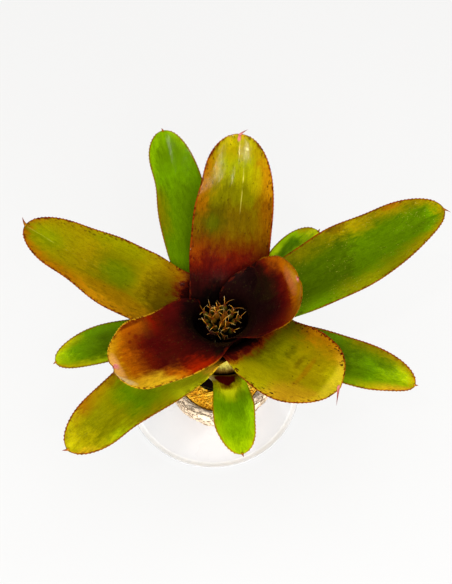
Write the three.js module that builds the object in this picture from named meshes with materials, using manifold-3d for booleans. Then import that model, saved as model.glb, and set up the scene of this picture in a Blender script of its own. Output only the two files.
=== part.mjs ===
// Neoregelia bromeliad in its pot: a rosette of strap leaves round a sunken flower head, growing in a
// thin nursery pot that stands in coir inside a rough rounded bowl, on a wide low saucer.
// Millimetres and degrees, +Z up. The origin lies on the saucer's underside, below the stem.
import * as THREE from 'three';
import { mergeVertices } from 'three/addons/utils/BufferGeometryUtils.js';
import Module from 'manifold-3d';

// ---------------------------------------------------------------- driving dimensions
const GAP = 0.35; // clearance kept between separate pieces

const SAUCER = { x: -10.7, y: -2, radius: 102, foot: 60, height: 7.6, well: 4 };

const BOWL = { x: -3, y: -8, rimZ: 62, rimRadius: 60, mouth: 49, footRadius: 36, floor: 8 };
const BOWL_BASE = SAUCER.well + GAP;

const POT = { x: -3, y: 0, rimZ: 79, rimRadius: 37, baseRadius: 27, wall: 1.2, lip: 6 };
const POT_BASE = BOWL_BASE + BOWL.floor + GAP;
const MIX_Z = 63; // surface of the potting mix
const COIR_Z = 58; // surface of the coir packed round the nursery pot

const STEM = { radius: 8.2, bottomZ: 44, topZ: 114 };

// The flower head is a low dome of upright buds that lean outwards towards its rim.
const HEAD = { x: -1.2, y: 0.9, rimZ: 151, radius: 14, dome: 7, lean: 28, buds: 24 };
const BUD = { length: 14, radius: 3.4, sepal: 8, sepalWidth: 2.4 };

// The leaves clasp the stem one outside the other, so sheath radius and base height follow their order.
const SHEATH = { innerRadius: 27, radiusStep: 2.3, innerBaseZ: 110, baseStep: 3.9, startRadius: 9.6 };
const SHEATH_RISE = 15; // slope at which a sheath leaves the stem
const SHEATH_WRAP = 110; // the most that a sheath reaches round the stem, either way
const LEAF = { thickness: 1.4, tipThickness: 1.1, edgeThinning: 0.3, channel: 26, spine: 4.5, tooth: 0.9 };

// One line per leaf, innermost first: azimuth from +X, blade slope at the neck and at the tip,
// blade length, blade width, neck width as a share of it, where the blade is widest, tip bluntness,
// sideways turn of the blade, height at which it opens, run of the opening, sheath width.
const LEAVES = [
  ['leaf_inner_right', 3, 52, 44, 56, 80, 1.03, 0.45, 2.2, 14.5, 165, 25, 88, 0x7a2a12],
  ['leaf_left_front', 228, 34, 24, 97, 77, 1.05, 0.54, 2.9, -20.5, 162, 26, 92, 0x8a3512],
  ['leaf_back', 82, 45, 32, 136, 80, 1.02, 0.36, 2.4, 3.5, 159, 28, 100, 0x8a8a1c],
  ['leaf_front_right', -47, 21, 26, 99, 84, 0.92, 0.43, 2.2, 11.5, 158, 28, 96, 0x9a9a18],
  ['leaf_left_back', 165, 22, 24, 160, 79, 0.89, 0.24, 2.2, -10, 153, 26, 96, 0x8f8c14],
  ['leaf_right', 18, 27, 30, 185, 78, 0.82, 0.45, 2.1, -1.5, 151, 26, 96, 0x7c9412],
  ['leaf_front_left', 231.5, 25, 9, 147, 61, 1.21, 0.54, 1.9, -6, 148, 27, 90, 0x7c9a10],
  ['leaf_back_left', 112, 31, 32, 147, 56, 1.06, 0.48, 2.5, -8, 149, 27, 80, 0x58a010],
  ['leaf_right_back', 42, 18, 15, 76, 42, 0.86, 0.47, 2.5, 0, 146, 28, 74, 0x58a010],
  ['leaf_right_low', -24, 12, 8, 131, 50, 0.94, 0.47, 2.1, -1.5, 145, 28, 80, 0x5f9c10],
  ['leaf_left_low', 193.5, 8, -4, 100, 42, 0.86, 0.44, 2.2, 10.5, 144, 28, 80, 0x5f9c10],
  ['leaf_front', 276.5, 22, -15, 72, 40, 0.81, 0.42, 2.3, 5, 137, 27, 80, 0x6fae10],
].map(([name, azimuth, neckSlope, tipSlope, length, width, neck, widest, blunt, turn, neckZ, flare,
  sheath, color], order) => ({
  name, azimuth, neckSlope, tipSlope, length, width, neck, widest, blunt, turn, neckZ, flare, sheath, color,
  radius: SHEATH.innerRadius + SHEATH.radiusStep * order,
  baseZ: SHEATH.innerBaseZ - SHEATH.baseStep * order,
  columns: order < 6 ? 8 : 6,
}));

// Where a margin swells or, below zero, pinches in: place along the blade and share of the half width.
const SWELL_REACH = 0.17;
const SWELLS = {
  leaf_inner_right: { left: [[0.65, -0.06]], right: [] },
  leaf_left_front: { left: [[0.65, -0.09]], right: [[0.9, -0.16]] },
  leaf_back: { left: [[0.65, -0.08]], right: [] },
  leaf_front_right: { left: [[0.9, 0.06]], right: [[0.9, -0.06]] },
  leaf_left_back: { left: [[0.65, -0.18]], right: [[0.65, -0.05]] },
  leaf_right: { left: [[0.65, -0.08]], right: [[0.9, -0.15]] },
  leaf_front_left: { left: [[0.65, -0.21]], right: [[0.65, -0.07]] },
  leaf_back_left: { left: [[0.65, -0.24]], right: [] },
  leaf_right_back: { left: [], right: [] },
  leaf_right_low: { left: [[0.9, 0.07]], right: [[0.9, -0.16]] },
  leaf_left_low: { left: [], right: [] },
  leaf_front: { left: [[0.65, -0.08]], right: [[0.65, 0.08]] },
};

// ---------------------------------------------------------------- helpers
const rad = THREE.MathUtils.degToRad;
const lerp = THREE.MathUtils.lerp;
const clamp = THREE.MathUtils.clamp;
const ease = (x) => THREE.MathUtils.smoothstep(x, 0, 1);
const vec = (x, y, z) => new THREE.Vector3(x, y, z);

const wasm = await Module();
wasm.setup();

const object = new THREE.Group();

function addPiece(name, geometry, color, roughness) {
  const material = new THREE.MeshStandardMaterial({ color, roughness, metalness: 0 });
  const mesh = new THREE.Mesh(geometry, material);
  mesh.name = name;
  object.add(mesh);
  return mesh;
}

function geometryOf(points, faces) {
  const geometry = new THREE.BufferGeometry();
  geometry.setAttribute('position', new THREE.Float32BufferAttribute(points.flatMap((p) => p.toArray()), 3));
  geometry.setIndex(faces.flat());
  return geometry;
}

// A closed body of revolution whose section may change with the angle. sectionAt(angle) gives [r, z]
// pairs from the axis below, round the outside, to the axis above or inside.
function revolve(sectionAt, segments) {
  const points = [];
  const faces = [];
  const count = sectionAt(0).length - 2;
  const at = (segment, ring) => 2 + (segment % segments) * count + ring;
  const first = sectionAt(0)[0];
  const last = sectionAt(0)[count + 1];
  points.push(vec(0, 0, first[1]), vec(0, 0, last[1]));
  for (let segment = 0; segment < segments; segment++) {
    const angle = (segment / segments) * 2 * Math.PI;
    for (const [r, z] of sectionAt(angle).slice(1, -1)) {
      points.push(vec(r * Math.cos(angle), r * Math.sin(angle), z));
    }
    faces.push([0, at(segment + 1, 0), at(segment, 0)]);
    faces.push([1, at(segment, count - 1), at(segment + 1, count - 1)]);
    for (let ring = 0; ring < count - 1; ring++) {
      faces.push([at(segment, ring), at(segment + 1, ring), at(segment + 1, ring + 1)]);
      faces.push([at(segment, ring), at(segment + 1, ring + 1), at(segment, ring + 1)]);
    }
  }
  return geometryOf(points, faces);
}

// The same for a section that closes on itself away from the axis, run anticlockwise in (r, z).
function revolveRing(sectionAt, segments) {
  const points = [];
  const faces = [];
  const count = sectionAt(0).length;
  const at = (segment, ring) => (segment % segments) * count + (ring % count);
  for (let segment = 0; segment < segments; segment++) {
    const angle = (segment / segments) * 2 * Math.PI;
    for (const [r, z] of sectionAt(angle)) {
      points.push(vec(r * Math.cos(angle), r * Math.sin(angle), z));
    }
    for (let ring = 0; ring < count; ring++) {
      faces.push([at(segment, ring), at(segment + 1, ring), at(segment + 1, ring + 1)]);
      faces.push([at(segment, ring), at(segment + 1, ring + 1), at(segment, ring + 1)]);
    }
  }
  return geometryOf(points, faces);
}

function solidOf(geometry) {
  const bare = geometry.clone();
  bare.deleteAttribute('normal');
  bare.deleteAttribute('uv');
  const merged = mergeVertices(bare, 1e-4);
  const vertProperties = new Float32Array(merged.attributes.position.array);
  const triVerts = new Uint32Array(merged.index.array);
  return new wasm.Manifold(new wasm.Mesh({ numProp: 3, vertProperties, triVerts }));
}

// Joins overlapping closed meshes into one body and drops any loose scrap.
function fuse(geometries) {
  const joined = geometries.map(solidOf).reduce((sum, solid) => sum.add(solid));
  const mesh = joined.decompose().sort((a, b) => b.volume() - a.volume())[0].getMesh();
  const geometry = new THREE.BufferGeometry();
  geometry.setAttribute('position', new THREE.Float32BufferAttribute(mesh.vertProperties, 3));
  geometry.setIndex([...mesh.triVerts]);
  return geometry;
}

// Seeded random numbers between -1 and 1.
function spread(seed) {
  let state = seed;
  return () => {
    state = (state * 16807) % 2147483647;
    return (state / 2147483647) * 2 - 1;
  };
}

// ---------------------------------------------------------------- leaves
// The midrib leaves the stem at a low slope, turns upright at the sheath's radius, stands as a tube up
// to the neck, then opens outwards and runs on as the blade.
function midribOf(leaf) {
  const bend = rad(90 - SHEATH_RISE);
  const arcRadius = (leaf.radius - SHEATH.startRadius) / (1 - Math.sin(rad(SHEATH_RISE)));
  const cupRun = arcRadius * bend;
  const cupTop = leaf.baseZ + arcRadius * Math.cos(rad(SHEATH_RISE));
  const opening = cupRun + Math.max(leaf.neckZ - cupTop, 0);
  const bladeStart = opening + leaf.flare;
  const slopeAt = (s) => {
    const cup = rad(SHEATH_RISE) + bend * Math.min(s / cupRun, 1);
    const open = ease((s - opening) / leaf.flare);
    const along = clamp((s - bladeStart) / leaf.length, 0, 1);
    const neck = lerp(cup, rad(leaf.neckSlope), open);
    return neck + rad(leaf.tipSlope - leaf.neckSlope) * along;
  };
  const headingAt = (s) => rad(leaf.azimuth + leaf.turn * clamp((s - bladeStart) / leaf.length, 0, 1));
  return { cupRun, opening, bladeStart, slopeAt, headingAt, end: bladeStart + leaf.length };
}

function widthAt(leaf, midrib, s) {
  const along = clamp((s - midrib.bladeStart) / leaf.length, 0, 1);
  const open = clamp((s - midrib.opening) / leaf.flare, 0, 1);
  if (open < 1) {
    return lerp(leaf.sheath, leaf.neck * leaf.width, ease(open));
  }
  if (along < leaf.widest) {
    return leaf.width * lerp(leaf.neck, 1, Math.sin((Math.PI / 2) * (along / leaf.widest)) ** 2);
  }
  const beyond = (along - leaf.widest) / (1 - leaf.widest);
  return leaf.width * Math.sqrt(1 - beyond ** leaf.blunt);
}

// How far out a point lies, as a share of the half width, once its margin's swells are counted.
function swollen(leaf, side, along) {
  const swells = SWELLS[leaf.name][side > 0 ? 'left' : 'right'];
  return swells.reduce((reach, [place, share]) => (
    reach * (1 + share * Math.exp(-(((along - place) / SWELL_REACH) ** 2)))), side);
}

// Points across the leaf at one station: an arc round the plant's axis in the sheath, changing through
// the neck into the shallow channel of the blade.
function sectionOf(leaf, midrib, s, centre, columns) {
  const slope = midrib.slopeAt(s);
  const heading = midrib.headingAt(s);
  const along = clamp((s - midrib.bladeStart) / leaf.length, 0, 1);
  const r = Math.hypot(centre.x, centre.y);
  const width = Math.min(widthAt(leaf, midrib, s), 2 * rad(SHEATH_WRAP) * Math.max(r, SHEATH.startRadius));
  const channel = rad(LEAF.channel) * (1 - 0.35 * along * along);
  const clasp = 1 - ease((s - midrib.opening) / (leaf.flare + 0.2 * leaf.length));
  const half = Math.max(lerp(channel, width / (2 * leaf.radius), clasp), 1e-3);
  const bend = width / (2 * half);
  const across = vec(-Math.sin(heading), Math.cos(heading), 0);
  const inward = vec(Math.cos(slope) * Math.cos(heading), Math.cos(slope) * Math.sin(heading),
    Math.sin(slope)).cross(across);
  const openness = ease((s - midrib.opening) / leaf.flare);
  const points = [];
  for (let column = 0; column <= columns; column++) {
    const side = swollen(leaf, (2 * column) / columns - 1, (s - midrib.bladeStart) / leaf.length);
    const turn = (width / (2 * Math.max(r, 1))) * side;
    const round = vec(r * Math.cos(rad(leaf.azimuth) + turn), r * Math.sin(rad(leaf.azimuth) + turn),
      centre.z);
    const flat = centre.clone().addScaledVector(across, bend * Math.sin(half * side))
      .addScaledVector(inward, bend * (1 - Math.cos(half * side)));
    points.push(round.lerp(flat, openness));
  }
  return points;
}

function stationsOf(leaf, midrib) {
  const even = (from, to, count) => Array.from({ length: count }, (_, i) => lerp(from, to, i / count));
  const bladeRows = Math.round(5 + leaf.length / 24);
  const blade = Array.from({ length: bladeRows }, (_, i) => (
    midrib.bladeStart + leaf.length * Math.sin((Math.PI / 2) * (i / bladeRows))));
  return [
    ...even(0, midrib.cupRun, 5),
    ...even(midrib.cupRun, midrib.opening, 1),
    ...even(midrib.opening, midrib.bladeStart, 4),
    ...blade,
    midrib.bladeStart + leaf.length * 0.9985,
  ];
}

function midribPoints(leaf, midrib, stations) {
  const step = 0.25;
  const azimuth = rad(leaf.azimuth);
  const point = vec(SHEATH.startRadius * Math.cos(azimuth), SHEATH.startRadius * Math.sin(azimuth),
    leaf.baseZ);
  const found = [];
  let s = 0;
  for (const station of stations) {
    while (s < station) {
      const run = Math.min(step, station - s);
      const slope = midrib.slopeAt(s + run / 2);
      const heading = midrib.headingAt(s + run / 2);
      point.add(vec(Math.cos(slope) * Math.cos(heading), Math.cos(slope) * Math.sin(heading),
        Math.sin(slope)).multiplyScalar(run));
      s += run;
    }
    found.push(point.clone());
  }
  return found;
}

function makeLeaf(leaf) {
  const midrib = midribOf(leaf);
  const stations = stationsOf(leaf, midrib);
  const centres = midribPoints(leaf, midrib, stations);
  const columns = leaf.columns;
  const rows = stations.length - 1;
  const middle = stations.map((s, row) => sectionOf(leaf, midrib, s, centres[row], columns));
  const points = [];
  const faces = [];
  const top = (row, column) => 2 * (row * (columns + 1) + column);
  const under = (row, column) => top(row, column) + 1;
  for (let row = 0; row <= rows; row++) {
    const along = clamp((stations[row] - midrib.bladeStart) / leaf.length, 0, 1);
    for (let column = 0; column <= columns; column++) {
      const side = (2 * column) / columns - 1;
      const down = middle[Math.min(row + 1, rows)][column].clone()
        .sub(middle[Math.max(row - 1, 0)][column]);
      const over = middle[row][Math.min(column + 1, columns)].clone()
        .sub(middle[row][Math.max(column - 1, 0)]);
      const normal = down.cross(over).normalize();
      const half = (lerp(LEAF.thickness, LEAF.tipThickness, along) * (1 - LEAF.edgeThinning * side ** 4)) / 2;
      points.push(middle[row][column].clone().addScaledVector(normal, half));
      points.push(middle[row][column].clone().addScaledVector(normal, -half));
    }
  }
  for (let row = 0; row < rows; row++) {
    for (let column = 0; column < columns; column++) {
      faces.push([top(row, column), top(row + 1, column), top(row + 1, column + 1)]);
      faces.push([top(row, column), top(row + 1, column + 1), top(row, column + 1)]);
      faces.push([under(row, column), under(row + 1, column + 1), under(row + 1, column)]);
      faces.push([under(row, column), under(row, column + 1), under(row + 1, column + 1)]);
    }
    addMargin(row, 0, 1);
    addMargin(row, columns, -1);
  }
  for (let column = 0; column < columns; column++) {
    faces.push([top(0, column), top(0, column + 1), under(0, column + 1)]);
    faces.push([top(0, column), under(0, column + 1), under(0, column)]);
  }
  addSpine();
  return geometryOf(points, faces);

  // The strip between the two faces at a margin. Along the blade each stretch ends in a small
  // forward-pointing tooth.
  function addMargin(row, column, inwardColumn) {
    const corners = [top(row, column), under(row, column), under(row + 1, column), top(row + 1, column)];
    const ring = inwardColumn > 0 ? corners : corners.reverse();
    if (stations[row] < midrib.bladeStart || row > rows - 2) {
      faces.push([ring[0], ring[1], ring[2]], [ring[0], ring[2], ring[3]]);
      return;
    }
    const edge = middle[row][column].clone().lerp(middle[row + 1][column], 0.85);
    const outward = middle[row][column].clone().sub(middle[row][column + inwardColumn]).normalize();
    points.push(edge.addScaledVector(outward, LEAF.tooth));
    const apex = points.length - 1;
    for (let i = 0; i < 4; i++) {
      faces.push([ring[i], ring[(i + 1) % 4], apex]);
    }
  }

  // The blade ends in a short hard spine that carries on the line of the midrib.
  function addSpine() {
    const end = centres[rows].clone();
    const forward = end.clone().sub(centres[rows - 1]).normalize();
    points.push(end.addScaledVector(forward, LEAF.spine));
    const apex = points.length - 1;
    const loop = [];
    for (let column = 0; column <= columns; column++) {
      loop.push(top(rows, column));
    }
    for (let column = columns; column >= 0; column--) {
      loop.push(under(rows, column));
    }
    loop.forEach((corner, i) => faces.push([corner, apex, loop[(i + 1) % loop.length]]));
  }
}

for (const leaf of LEAVES) {
  addPiece(leaf.name, makeLeaf(leaf), leaf.color, 0.4);
}

// ---------------------------------------------------------------- stem
// A short stout stem with the low rings that old leaves leave behind.
function makeStem() {
  const rings = 3;
  const section = [[0, STEM.bottomZ], [STEM.radius - 1, STEM.bottomZ]];
  for (let ring = 0; ring <= rings; ring++) {
    const z = lerp(STEM.bottomZ + 4, STEM.topZ - 3, ring / rings);
    section.push([STEM.radius - 0.5, z], [STEM.radius, z + 3]);
  }
  section.push([0, STEM.topZ]);
  return revolve(() => section, 16);
}
addPiece('stem', makeStem(), 0x7d7a45, 0.8);

// ---------------------------------------------------------------- flower head
// A stalked dome thickly set with ovoid buds, each ending in three pointed dry sepals, in the order in
// which a growing head sets them: a golden turn from one to the next.
function budShape(length, radius, sides) {
  const rings = [[0, 0], [0.75, 0.2], [1, 0.5], [0.72, 0.8], [0, 1]];
  return revolve(() => rings.map(([r, z]) => [r * radius, z * length]), sides);
}

function sepalShape(length, width) {
  const points = [vec(-width / 2, 0, 0), vec(width / 2, 0, 0), vec(0, width * 0.45, 0),
    vec(0, length * 0.2, length)];
  return geometryOf(points, [[0, 2, 1], [0, 1, 3], [1, 2, 3], [2, 0, 3]]);
}

function makeHead() {
  const { rimZ, radius, dome } = HEAD;
  const section = [[0, STEM.topZ + GAP], [6.5, STEM.topZ + GAP], [7, rimZ - 14], [radius * 0.85, rimZ - 5],
    [radius, rimZ]];
  for (const share of [0.8, 0.5]) {
    section.push([radius * share, rimZ + dome * (1 - share * share)]);
  }
  section.push([0, rimZ + dome]);
  const shapes = [revolve(() => section, 18)];
  const random = spread(41);
  const goldenTurn = rad(137.508);
  for (let bud = 0; bud < HEAD.buds; bud++) {
    const share = Math.sqrt((bud + 0.5) / HEAD.buds);
    const heading = bud * goldenTurn + 0.12 * random();
    const tilt = rad(HEAD.lean) * share + 0.08 * random();
    const lean = vec(Math.sin(tilt) * Math.cos(heading), Math.sin(tilt) * Math.sin(heading), Math.cos(tilt));
    const root = vec(radius * share * Math.cos(heading), radius * share * Math.sin(heading),
      rimZ + dome * (1 - share * share) - 2);
    const size = 1 + 0.12 * random();
    const upright = new THREE.Quaternion().setFromUnitVectors(vec(0, 0, 1), lean);
    const place = new THREE.Matrix4().compose(root, upright, vec(size, size, size));
    shapes.push(budShape(BUD.length, BUD.radius, 5).applyMatrix4(place));
    const twist = Math.PI * random();
    for (let sepal = 0; sepal < 3; sepal++) {
      const turn = new THREE.Matrix4().makeRotationZ(twist + (sepal * 2 * Math.PI) / 3);
      const splay = new THREE.Matrix4().makeRotationX(rad(-24 + 10 * random()));
      const lift = new THREE.Matrix4().makeTranslation(0, 0.4, BUD.length * 0.62);
      const length = BUD.sepal * (1 + 0.15 * random());
      shapes.push(sepalShape(length, BUD.sepalWidth).applyMatrix4(splay).applyMatrix4(lift)
        .applyMatrix4(turn).applyMatrix4(place));
    }
  }
  return fuse(shapes);
}
const flowerHead = addPiece('flower_head', makeHead(), 0x9c7420, 0.7);
flowerHead.position.set(HEAD.x, HEAD.y, 0);

// ---------------------------------------------------------------- nursery pot and potting mix
function potRadius(z) {
  return lerp(POT.baseRadius, POT.rimRadius - 1.4, (z - POT_BASE) / (POT.rimZ - POT.lip - POT_BASE));
}

function makeNurseryPot() {
  const lipZ = POT.rimZ - POT.lip;
  const section = [
    [0, POT_BASE], [POT.baseRadius - 1, POT_BASE], [potRadius(POT_BASE + 1), POT_BASE + 1],
    [potRadius(lipZ), lipZ], [POT.rimRadius, lipZ], [POT.rimRadius, POT.rimZ],
    [POT.rimRadius - POT.wall, POT.rimZ], [potRadius(lipZ) - POT.wall, lipZ - 1.5],
    [potRadius(POT_BASE + 1.5) - POT.wall, POT_BASE + 1.5], [0, POT_BASE + 1.5],
  ];
  return revolve(() => section, 36);
}
const nurseryPot = addPiece('nursery_pot', makeNurseryPot(), 0x17181a, 0.35);
nurseryPot.position.set(POT.x, POT.y, 0);

// The mix fills the pot to a rough surface, with a plain hole where the stem stands.
function makeMix() {
  const bottom = POT_BASE + 1.5 + GAP;
  const holeRadius = STEM.radius + 0.6;
  const holeBottom = STEM.bottomZ - GAP;
  const lump = (angle, r) => 0.9 * Math.sin(3 * angle + r * 0.4) + 0.7 * Math.sin(7 * angle - r * 0.9);
  const wallAt = (z) => potRadius(z) - POT.wall - GAP - 0.25;
  return revolve((angle) => {
    const heading = vec(Math.cos(angle), Math.sin(angle), 0);
    const centre = vec(POT.x, POT.y, 0);
    const toWall = (z) => {
      const along = heading.dot(centre);
      return along + Math.sqrt(along * along - centre.lengthSq() + wallAt(z) ** 2);
    };
    const top = [[toWall(MIX_Z - 2), MIX_Z - 2]];
    for (const share of [0.8, 0.55, 0.3]) {
      const r = lerp(holeRadius, toWall(MIX_Z), share);
      top.push([r, MIX_Z + lump(angle, r)]);
    }
    return [[0, bottom], [toWall(bottom), bottom], ...top, [holeRadius, MIX_Z - 1],
      [holeRadius, holeBottom], [0, holeBottom]];
  }, 36);
}
addPiece('potting_mix', makeMix(), 0x2a1d14, 1);

// ---------------------------------------------------------------- rough bowl
// Split lines and lumps run round the wall, deepest at the rim.
function barkLump(angle, height) {
  return 0.9 * Math.sin(3 * angle + 0.6) + 0.7 * Math.sin(5 * angle + 4 * height)
    + 0.6 * Math.sin(11 * angle - 7 * height) + 0.4 * Math.sin(19 * angle + 9 * height);
}

// The inner wall narrows a little from the mouth down, and turns in to the floor.
const BOWL_KNEE = 24;
const BOWL_FLOOR_RADIUS = 38;

function mouthRadius(angle, z) {
  return BOWL.mouth + 0.8 * Math.sin(4 * angle + 1) - 0.08 * (BOWL.rimZ - z);
}

function makeBowl() {
  const wall = [[0.12, 0.72], [0.3, 0.86], [0.5, 0.95], [0.7, 1], [0.86, 1.02], [0.95, 0.99]];
  const rim = [[0.86, 1], [0.62, 0.985], [0.38, 1], [0.12, 0.975]];
  return revolve((angle) => {
    const section = [[0, BOWL_BASE], [BOWL.footRadius, BOWL_BASE]];
    for (const [height, share] of wall) {
      const z = lerp(BOWL_BASE, BOWL.rimZ, height);
      section.push([BOWL.rimRadius * share + barkLump(angle, height), z]);
    }
    const mouth = mouthRadius(angle, BOWL.rimZ);
    for (const [share, height] of rim) {
      const r = lerp(mouth, BOWL.rimRadius + 0.7 * barkLump(angle, 1), share);
      section.push([r, BOWL.rimZ * height + 0.6 * barkLump(angle + 1, height)]);
    }
    const innerTop = BOWL.rimZ - 5;
    section.push([mouthRadius(angle, innerTop), innerTop]);
    section.push([mouthRadius(angle, BOWL_KNEE), BOWL_KNEE]);
    section.push([BOWL_FLOOR_RADIUS, BOWL_BASE + BOWL.floor]);
    section.push([0, BOWL_BASE + BOWL.floor]);
    return section;
  }, 48);
}
const bowl = addPiece('outer_pot', makeBowl(), 0xe6dccb, 0.9);
bowl.position.set(BOWL.x, BOWL.y, 0);

// ---------------------------------------------------------------- coir
// The packing between the two pots: a matted ring with loose curled fibres proud of its surface.
const FIBRES = 18;

function makeCoir() {
  const bottom = BOWL_BASE + BOWL.floor + GAP;
  const centre = vec(POT.x - BOWL.x, POT.y - BOWL.y, 0);
  const innerRadius = (angle, z) => {
    const heading = vec(Math.cos(angle), Math.sin(angle), 0);
    const along = heading.dot(centre);
    const clear = potRadius(z) + GAP + 0.3;
    return along + Math.sqrt(along * along - centre.lengthSq() + clear ** 2);
  };
  const tuft = (angle, r) => 0.8 * Math.sin(9 * angle + r) + 0.7 * Math.sin(15 * angle - 0.8 * r);
  const ring = revolveRing((angle) => {
    const inner = innerRadius(angle, COIR_Z + 3);
    const outer = mouthRadius(angle, COIR_Z - 3) - GAP - 0.3;
    const at = (share) => lerp(inner, outer, share);
    return [
      [innerRadius(angle, bottom + 2), bottom], [BOWL_FLOOR_RADIUS - GAP - 0.6, bottom],
      [mouthRadius(angle, BOWL_KNEE) - GAP - 0.5, BOWL_KNEE], [outer, COIR_Z - 3],
      [at(0.7), COIR_Z - 0.3 + tuft(angle, 3)], [at(0.3), COIR_Z + tuft(angle, 1)], [inner, COIR_Z - 1],
    ];
  }, 40);
  const shapes = [ring];
  const random = spread(7);
  for (let fibre = 0; fibre < FIBRES; fibre++) {
    const angle = (fibre / FIBRES) * 2 * Math.PI + 0.1 * random();
    const share = 0.5 + 0.2 * random();
    const r = lerp(innerRadius(angle, COIR_Z), mouthRadius(angle, COIR_Z), share);
    const reach = 4 + random();
    const heading = angle + Math.PI / 2 + 0.9 * random();
    const middle = vec(r * Math.cos(angle), r * Math.sin(angle), COIR_Z - 0.2);
    const route = [-1, -0.5, 0, 0.5, 1].map((along) => middle.clone().add(vec(
      reach * along * Math.cos(heading) + 1.2 * Math.sin(3 * along + fibre),
      reach * along * Math.sin(heading) + 1.2 * Math.cos(2 * along + fibre),
      1.9 * (1 - 1.7 * along * along))));
    shapes.push(fibreShape(route, 0.75));
  }
  return fuse(shapes);
}

function fibreShape(route, radius) {
  const section = new THREE.Shape([0, 1, 2].map((i) => new THREE.Vector2(
    radius * Math.cos((i * 2 * Math.PI) / 3), radius * Math.sin((i * 2 * Math.PI) / 3))));
  const extrudePath = new THREE.CatmullRomCurve3(route);
  return new THREE.ExtrudeGeometry(section, { steps: 5, extrudePath });
}
const coir = addPiece('coir_packing', makeCoir(), 0xd99a2e, 1);
coir.position.set(BOWL.x, BOWL.y, 0);

// ---------------------------------------------------------------- saucer
function makeSaucer() {
  const section = [
    [0, 0], [SAUCER.foot, 0], [SAUCER.foot + 3, 0.9], [SAUCER.radius - 8, 2],
    [SAUCER.radius - 1, SAUCER.height - 1.6], [SAUCER.radius, SAUCER.height - 0.4],
    [SAUCER.radius - 1, SAUCER.height], [SAUCER.radius - 2, SAUCER.height - 0.4],
    [SAUCER.radius - 6, SAUCER.well + 0.4], [SAUCER.radius - 9, SAUCER.well], [0, SAUCER.well],
  ];
  return revolve(() => section, 48);
}
const saucer = addPiece('saucer', makeSaucer(), 0xf4f2ee, 0.3);
saucer.position.set(SAUCER.x, SAUCER.y, 0);

export default object;
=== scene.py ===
import math
import random

import bmesh
import bpy
from mathutils import Matrix, Vector, noise


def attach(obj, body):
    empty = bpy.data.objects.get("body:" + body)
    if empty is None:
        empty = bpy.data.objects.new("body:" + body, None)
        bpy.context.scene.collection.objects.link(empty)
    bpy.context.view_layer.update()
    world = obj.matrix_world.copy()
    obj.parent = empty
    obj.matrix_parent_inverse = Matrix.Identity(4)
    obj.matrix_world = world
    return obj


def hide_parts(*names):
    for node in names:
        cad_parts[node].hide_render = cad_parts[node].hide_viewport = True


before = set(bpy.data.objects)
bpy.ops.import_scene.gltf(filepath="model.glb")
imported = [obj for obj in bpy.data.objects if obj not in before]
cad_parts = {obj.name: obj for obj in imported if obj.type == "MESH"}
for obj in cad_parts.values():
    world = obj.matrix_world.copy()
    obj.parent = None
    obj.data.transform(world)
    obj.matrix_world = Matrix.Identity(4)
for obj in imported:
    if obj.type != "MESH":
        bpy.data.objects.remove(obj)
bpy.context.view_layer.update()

MM = 0.001
LIGHT_LEVEL = 1.75  # how bright the studio light makes a white surface
WELD = 1e-4
NOISE_ROUGHNESS = 0.55

# ---- dimensions, millimetres and degrees
SHEATH = {"inner_radius": 27, "radius_step": 2.3, "inner_base": 110, "base_step": 3.9, "start": 9.6,
          "rise": 15, "wrap": 110, "rows": 44}
BLADE = {"thickness": 1.3, "tip_thickness": 1.0, "edge": 0.4, "row": 1.15, "columns": 28, "fine_steps": 800,
         "channel": 26, "flatten": 0.35, "settle": 0.2, "ripple": 0.8, "ripple_length": 9.5,
         "ripple_lag": 2.2, "midrib": 0.7, "midrib_width": 6, "notch_width": 4, "notch_from": 0.875}
TOOTH = {"height": 0.3, "lean": 0.5, "every": 3, "first": 0.02, "last": 0.985}
SPINE = {"girth": 0.9, "girth_share": 0.1, "taper": 1.4, "sunk": 1.2, "pole": 0.2}
FLUSHED_LEAVES = 4

# One line per leaf, innermost first: azimuth, slope at neck and tip, length, width, neck share,
# widest at, bluntness, turn, neck height, opening, sheath width, how deep the tip is notched, and
# where its spine ends: forward, sideways and up from the tip.
LEAF_LINES = [
    ("leaf_inner_right", 3, 52, 44, 56, 80, 1.03, 0.45, 2.2, 14.5, 165, 25, 88, 2.0, (3, 1, 0)),
    ("leaf_left_front", 228, 34, 24, 97, 77, 1.05, 0.54, 2.9, -20.5, 162, 26, 92, 3.0, (3, 1, 0)),
    ("leaf_back", 82, 45, 32, 136, 80, 1.02, 0.36, 2.4, 3.5, 159, 28, 100, 0, (6, -8, 0)),
    ("leaf_front_right", -47, 21, 26, 99, 84, 0.92, 0.43, 2.2, 11.5, 158, 28, 96, 0, (3.5, -13, -8)),
    ("leaf_left_back", 165, 22, 24, 160, 79, 0.89, 0.24, 2.2, -10, 153, 26, 96, 0, (8, -5.5, 0)),
    ("leaf_right", 18, 27, 30, 185, 78, 0.82, 0.45, 2.1, -1.5, 151, 26, 96, 0, (5, -7, 0)),
    ("leaf_front_left", 231.5, 25, 9, 147, 61, 1.21, 0.54, 1.9, -6, 148, 27, 90, 0, (5, -3, 0)),
    ("leaf_back_left", 112, 31, 32, 147, 56, 1.06, 0.48, 2.5, -8, 149, 27, 80, 0, (4, 1, 0)),
    ("leaf_right_back", 42, 18, 15, 76, 42, 0.86, 0.47, 2.5, 0, 146, 28, 74, 0, (4, 1, 0)),
    ("leaf_right_low", -24, 12, 8, 131, 50, 0.94, 0.47, 2.1, -1.5, 145, 28, 80, 0, (4, 1, 0)),
    ("leaf_left_low", 193.5, 8, -4, 100, 42, 0.86, 0.44, 2.2, 10.5, 144, 28, 80, 0, (4, 1, 0)),
    ("leaf_front", 276.5, 22, -15, 72, 40, 0.81, 0.42, 2.3, 5, 137, 27, 80, 0, (4, 1, 0)),
]
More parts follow.
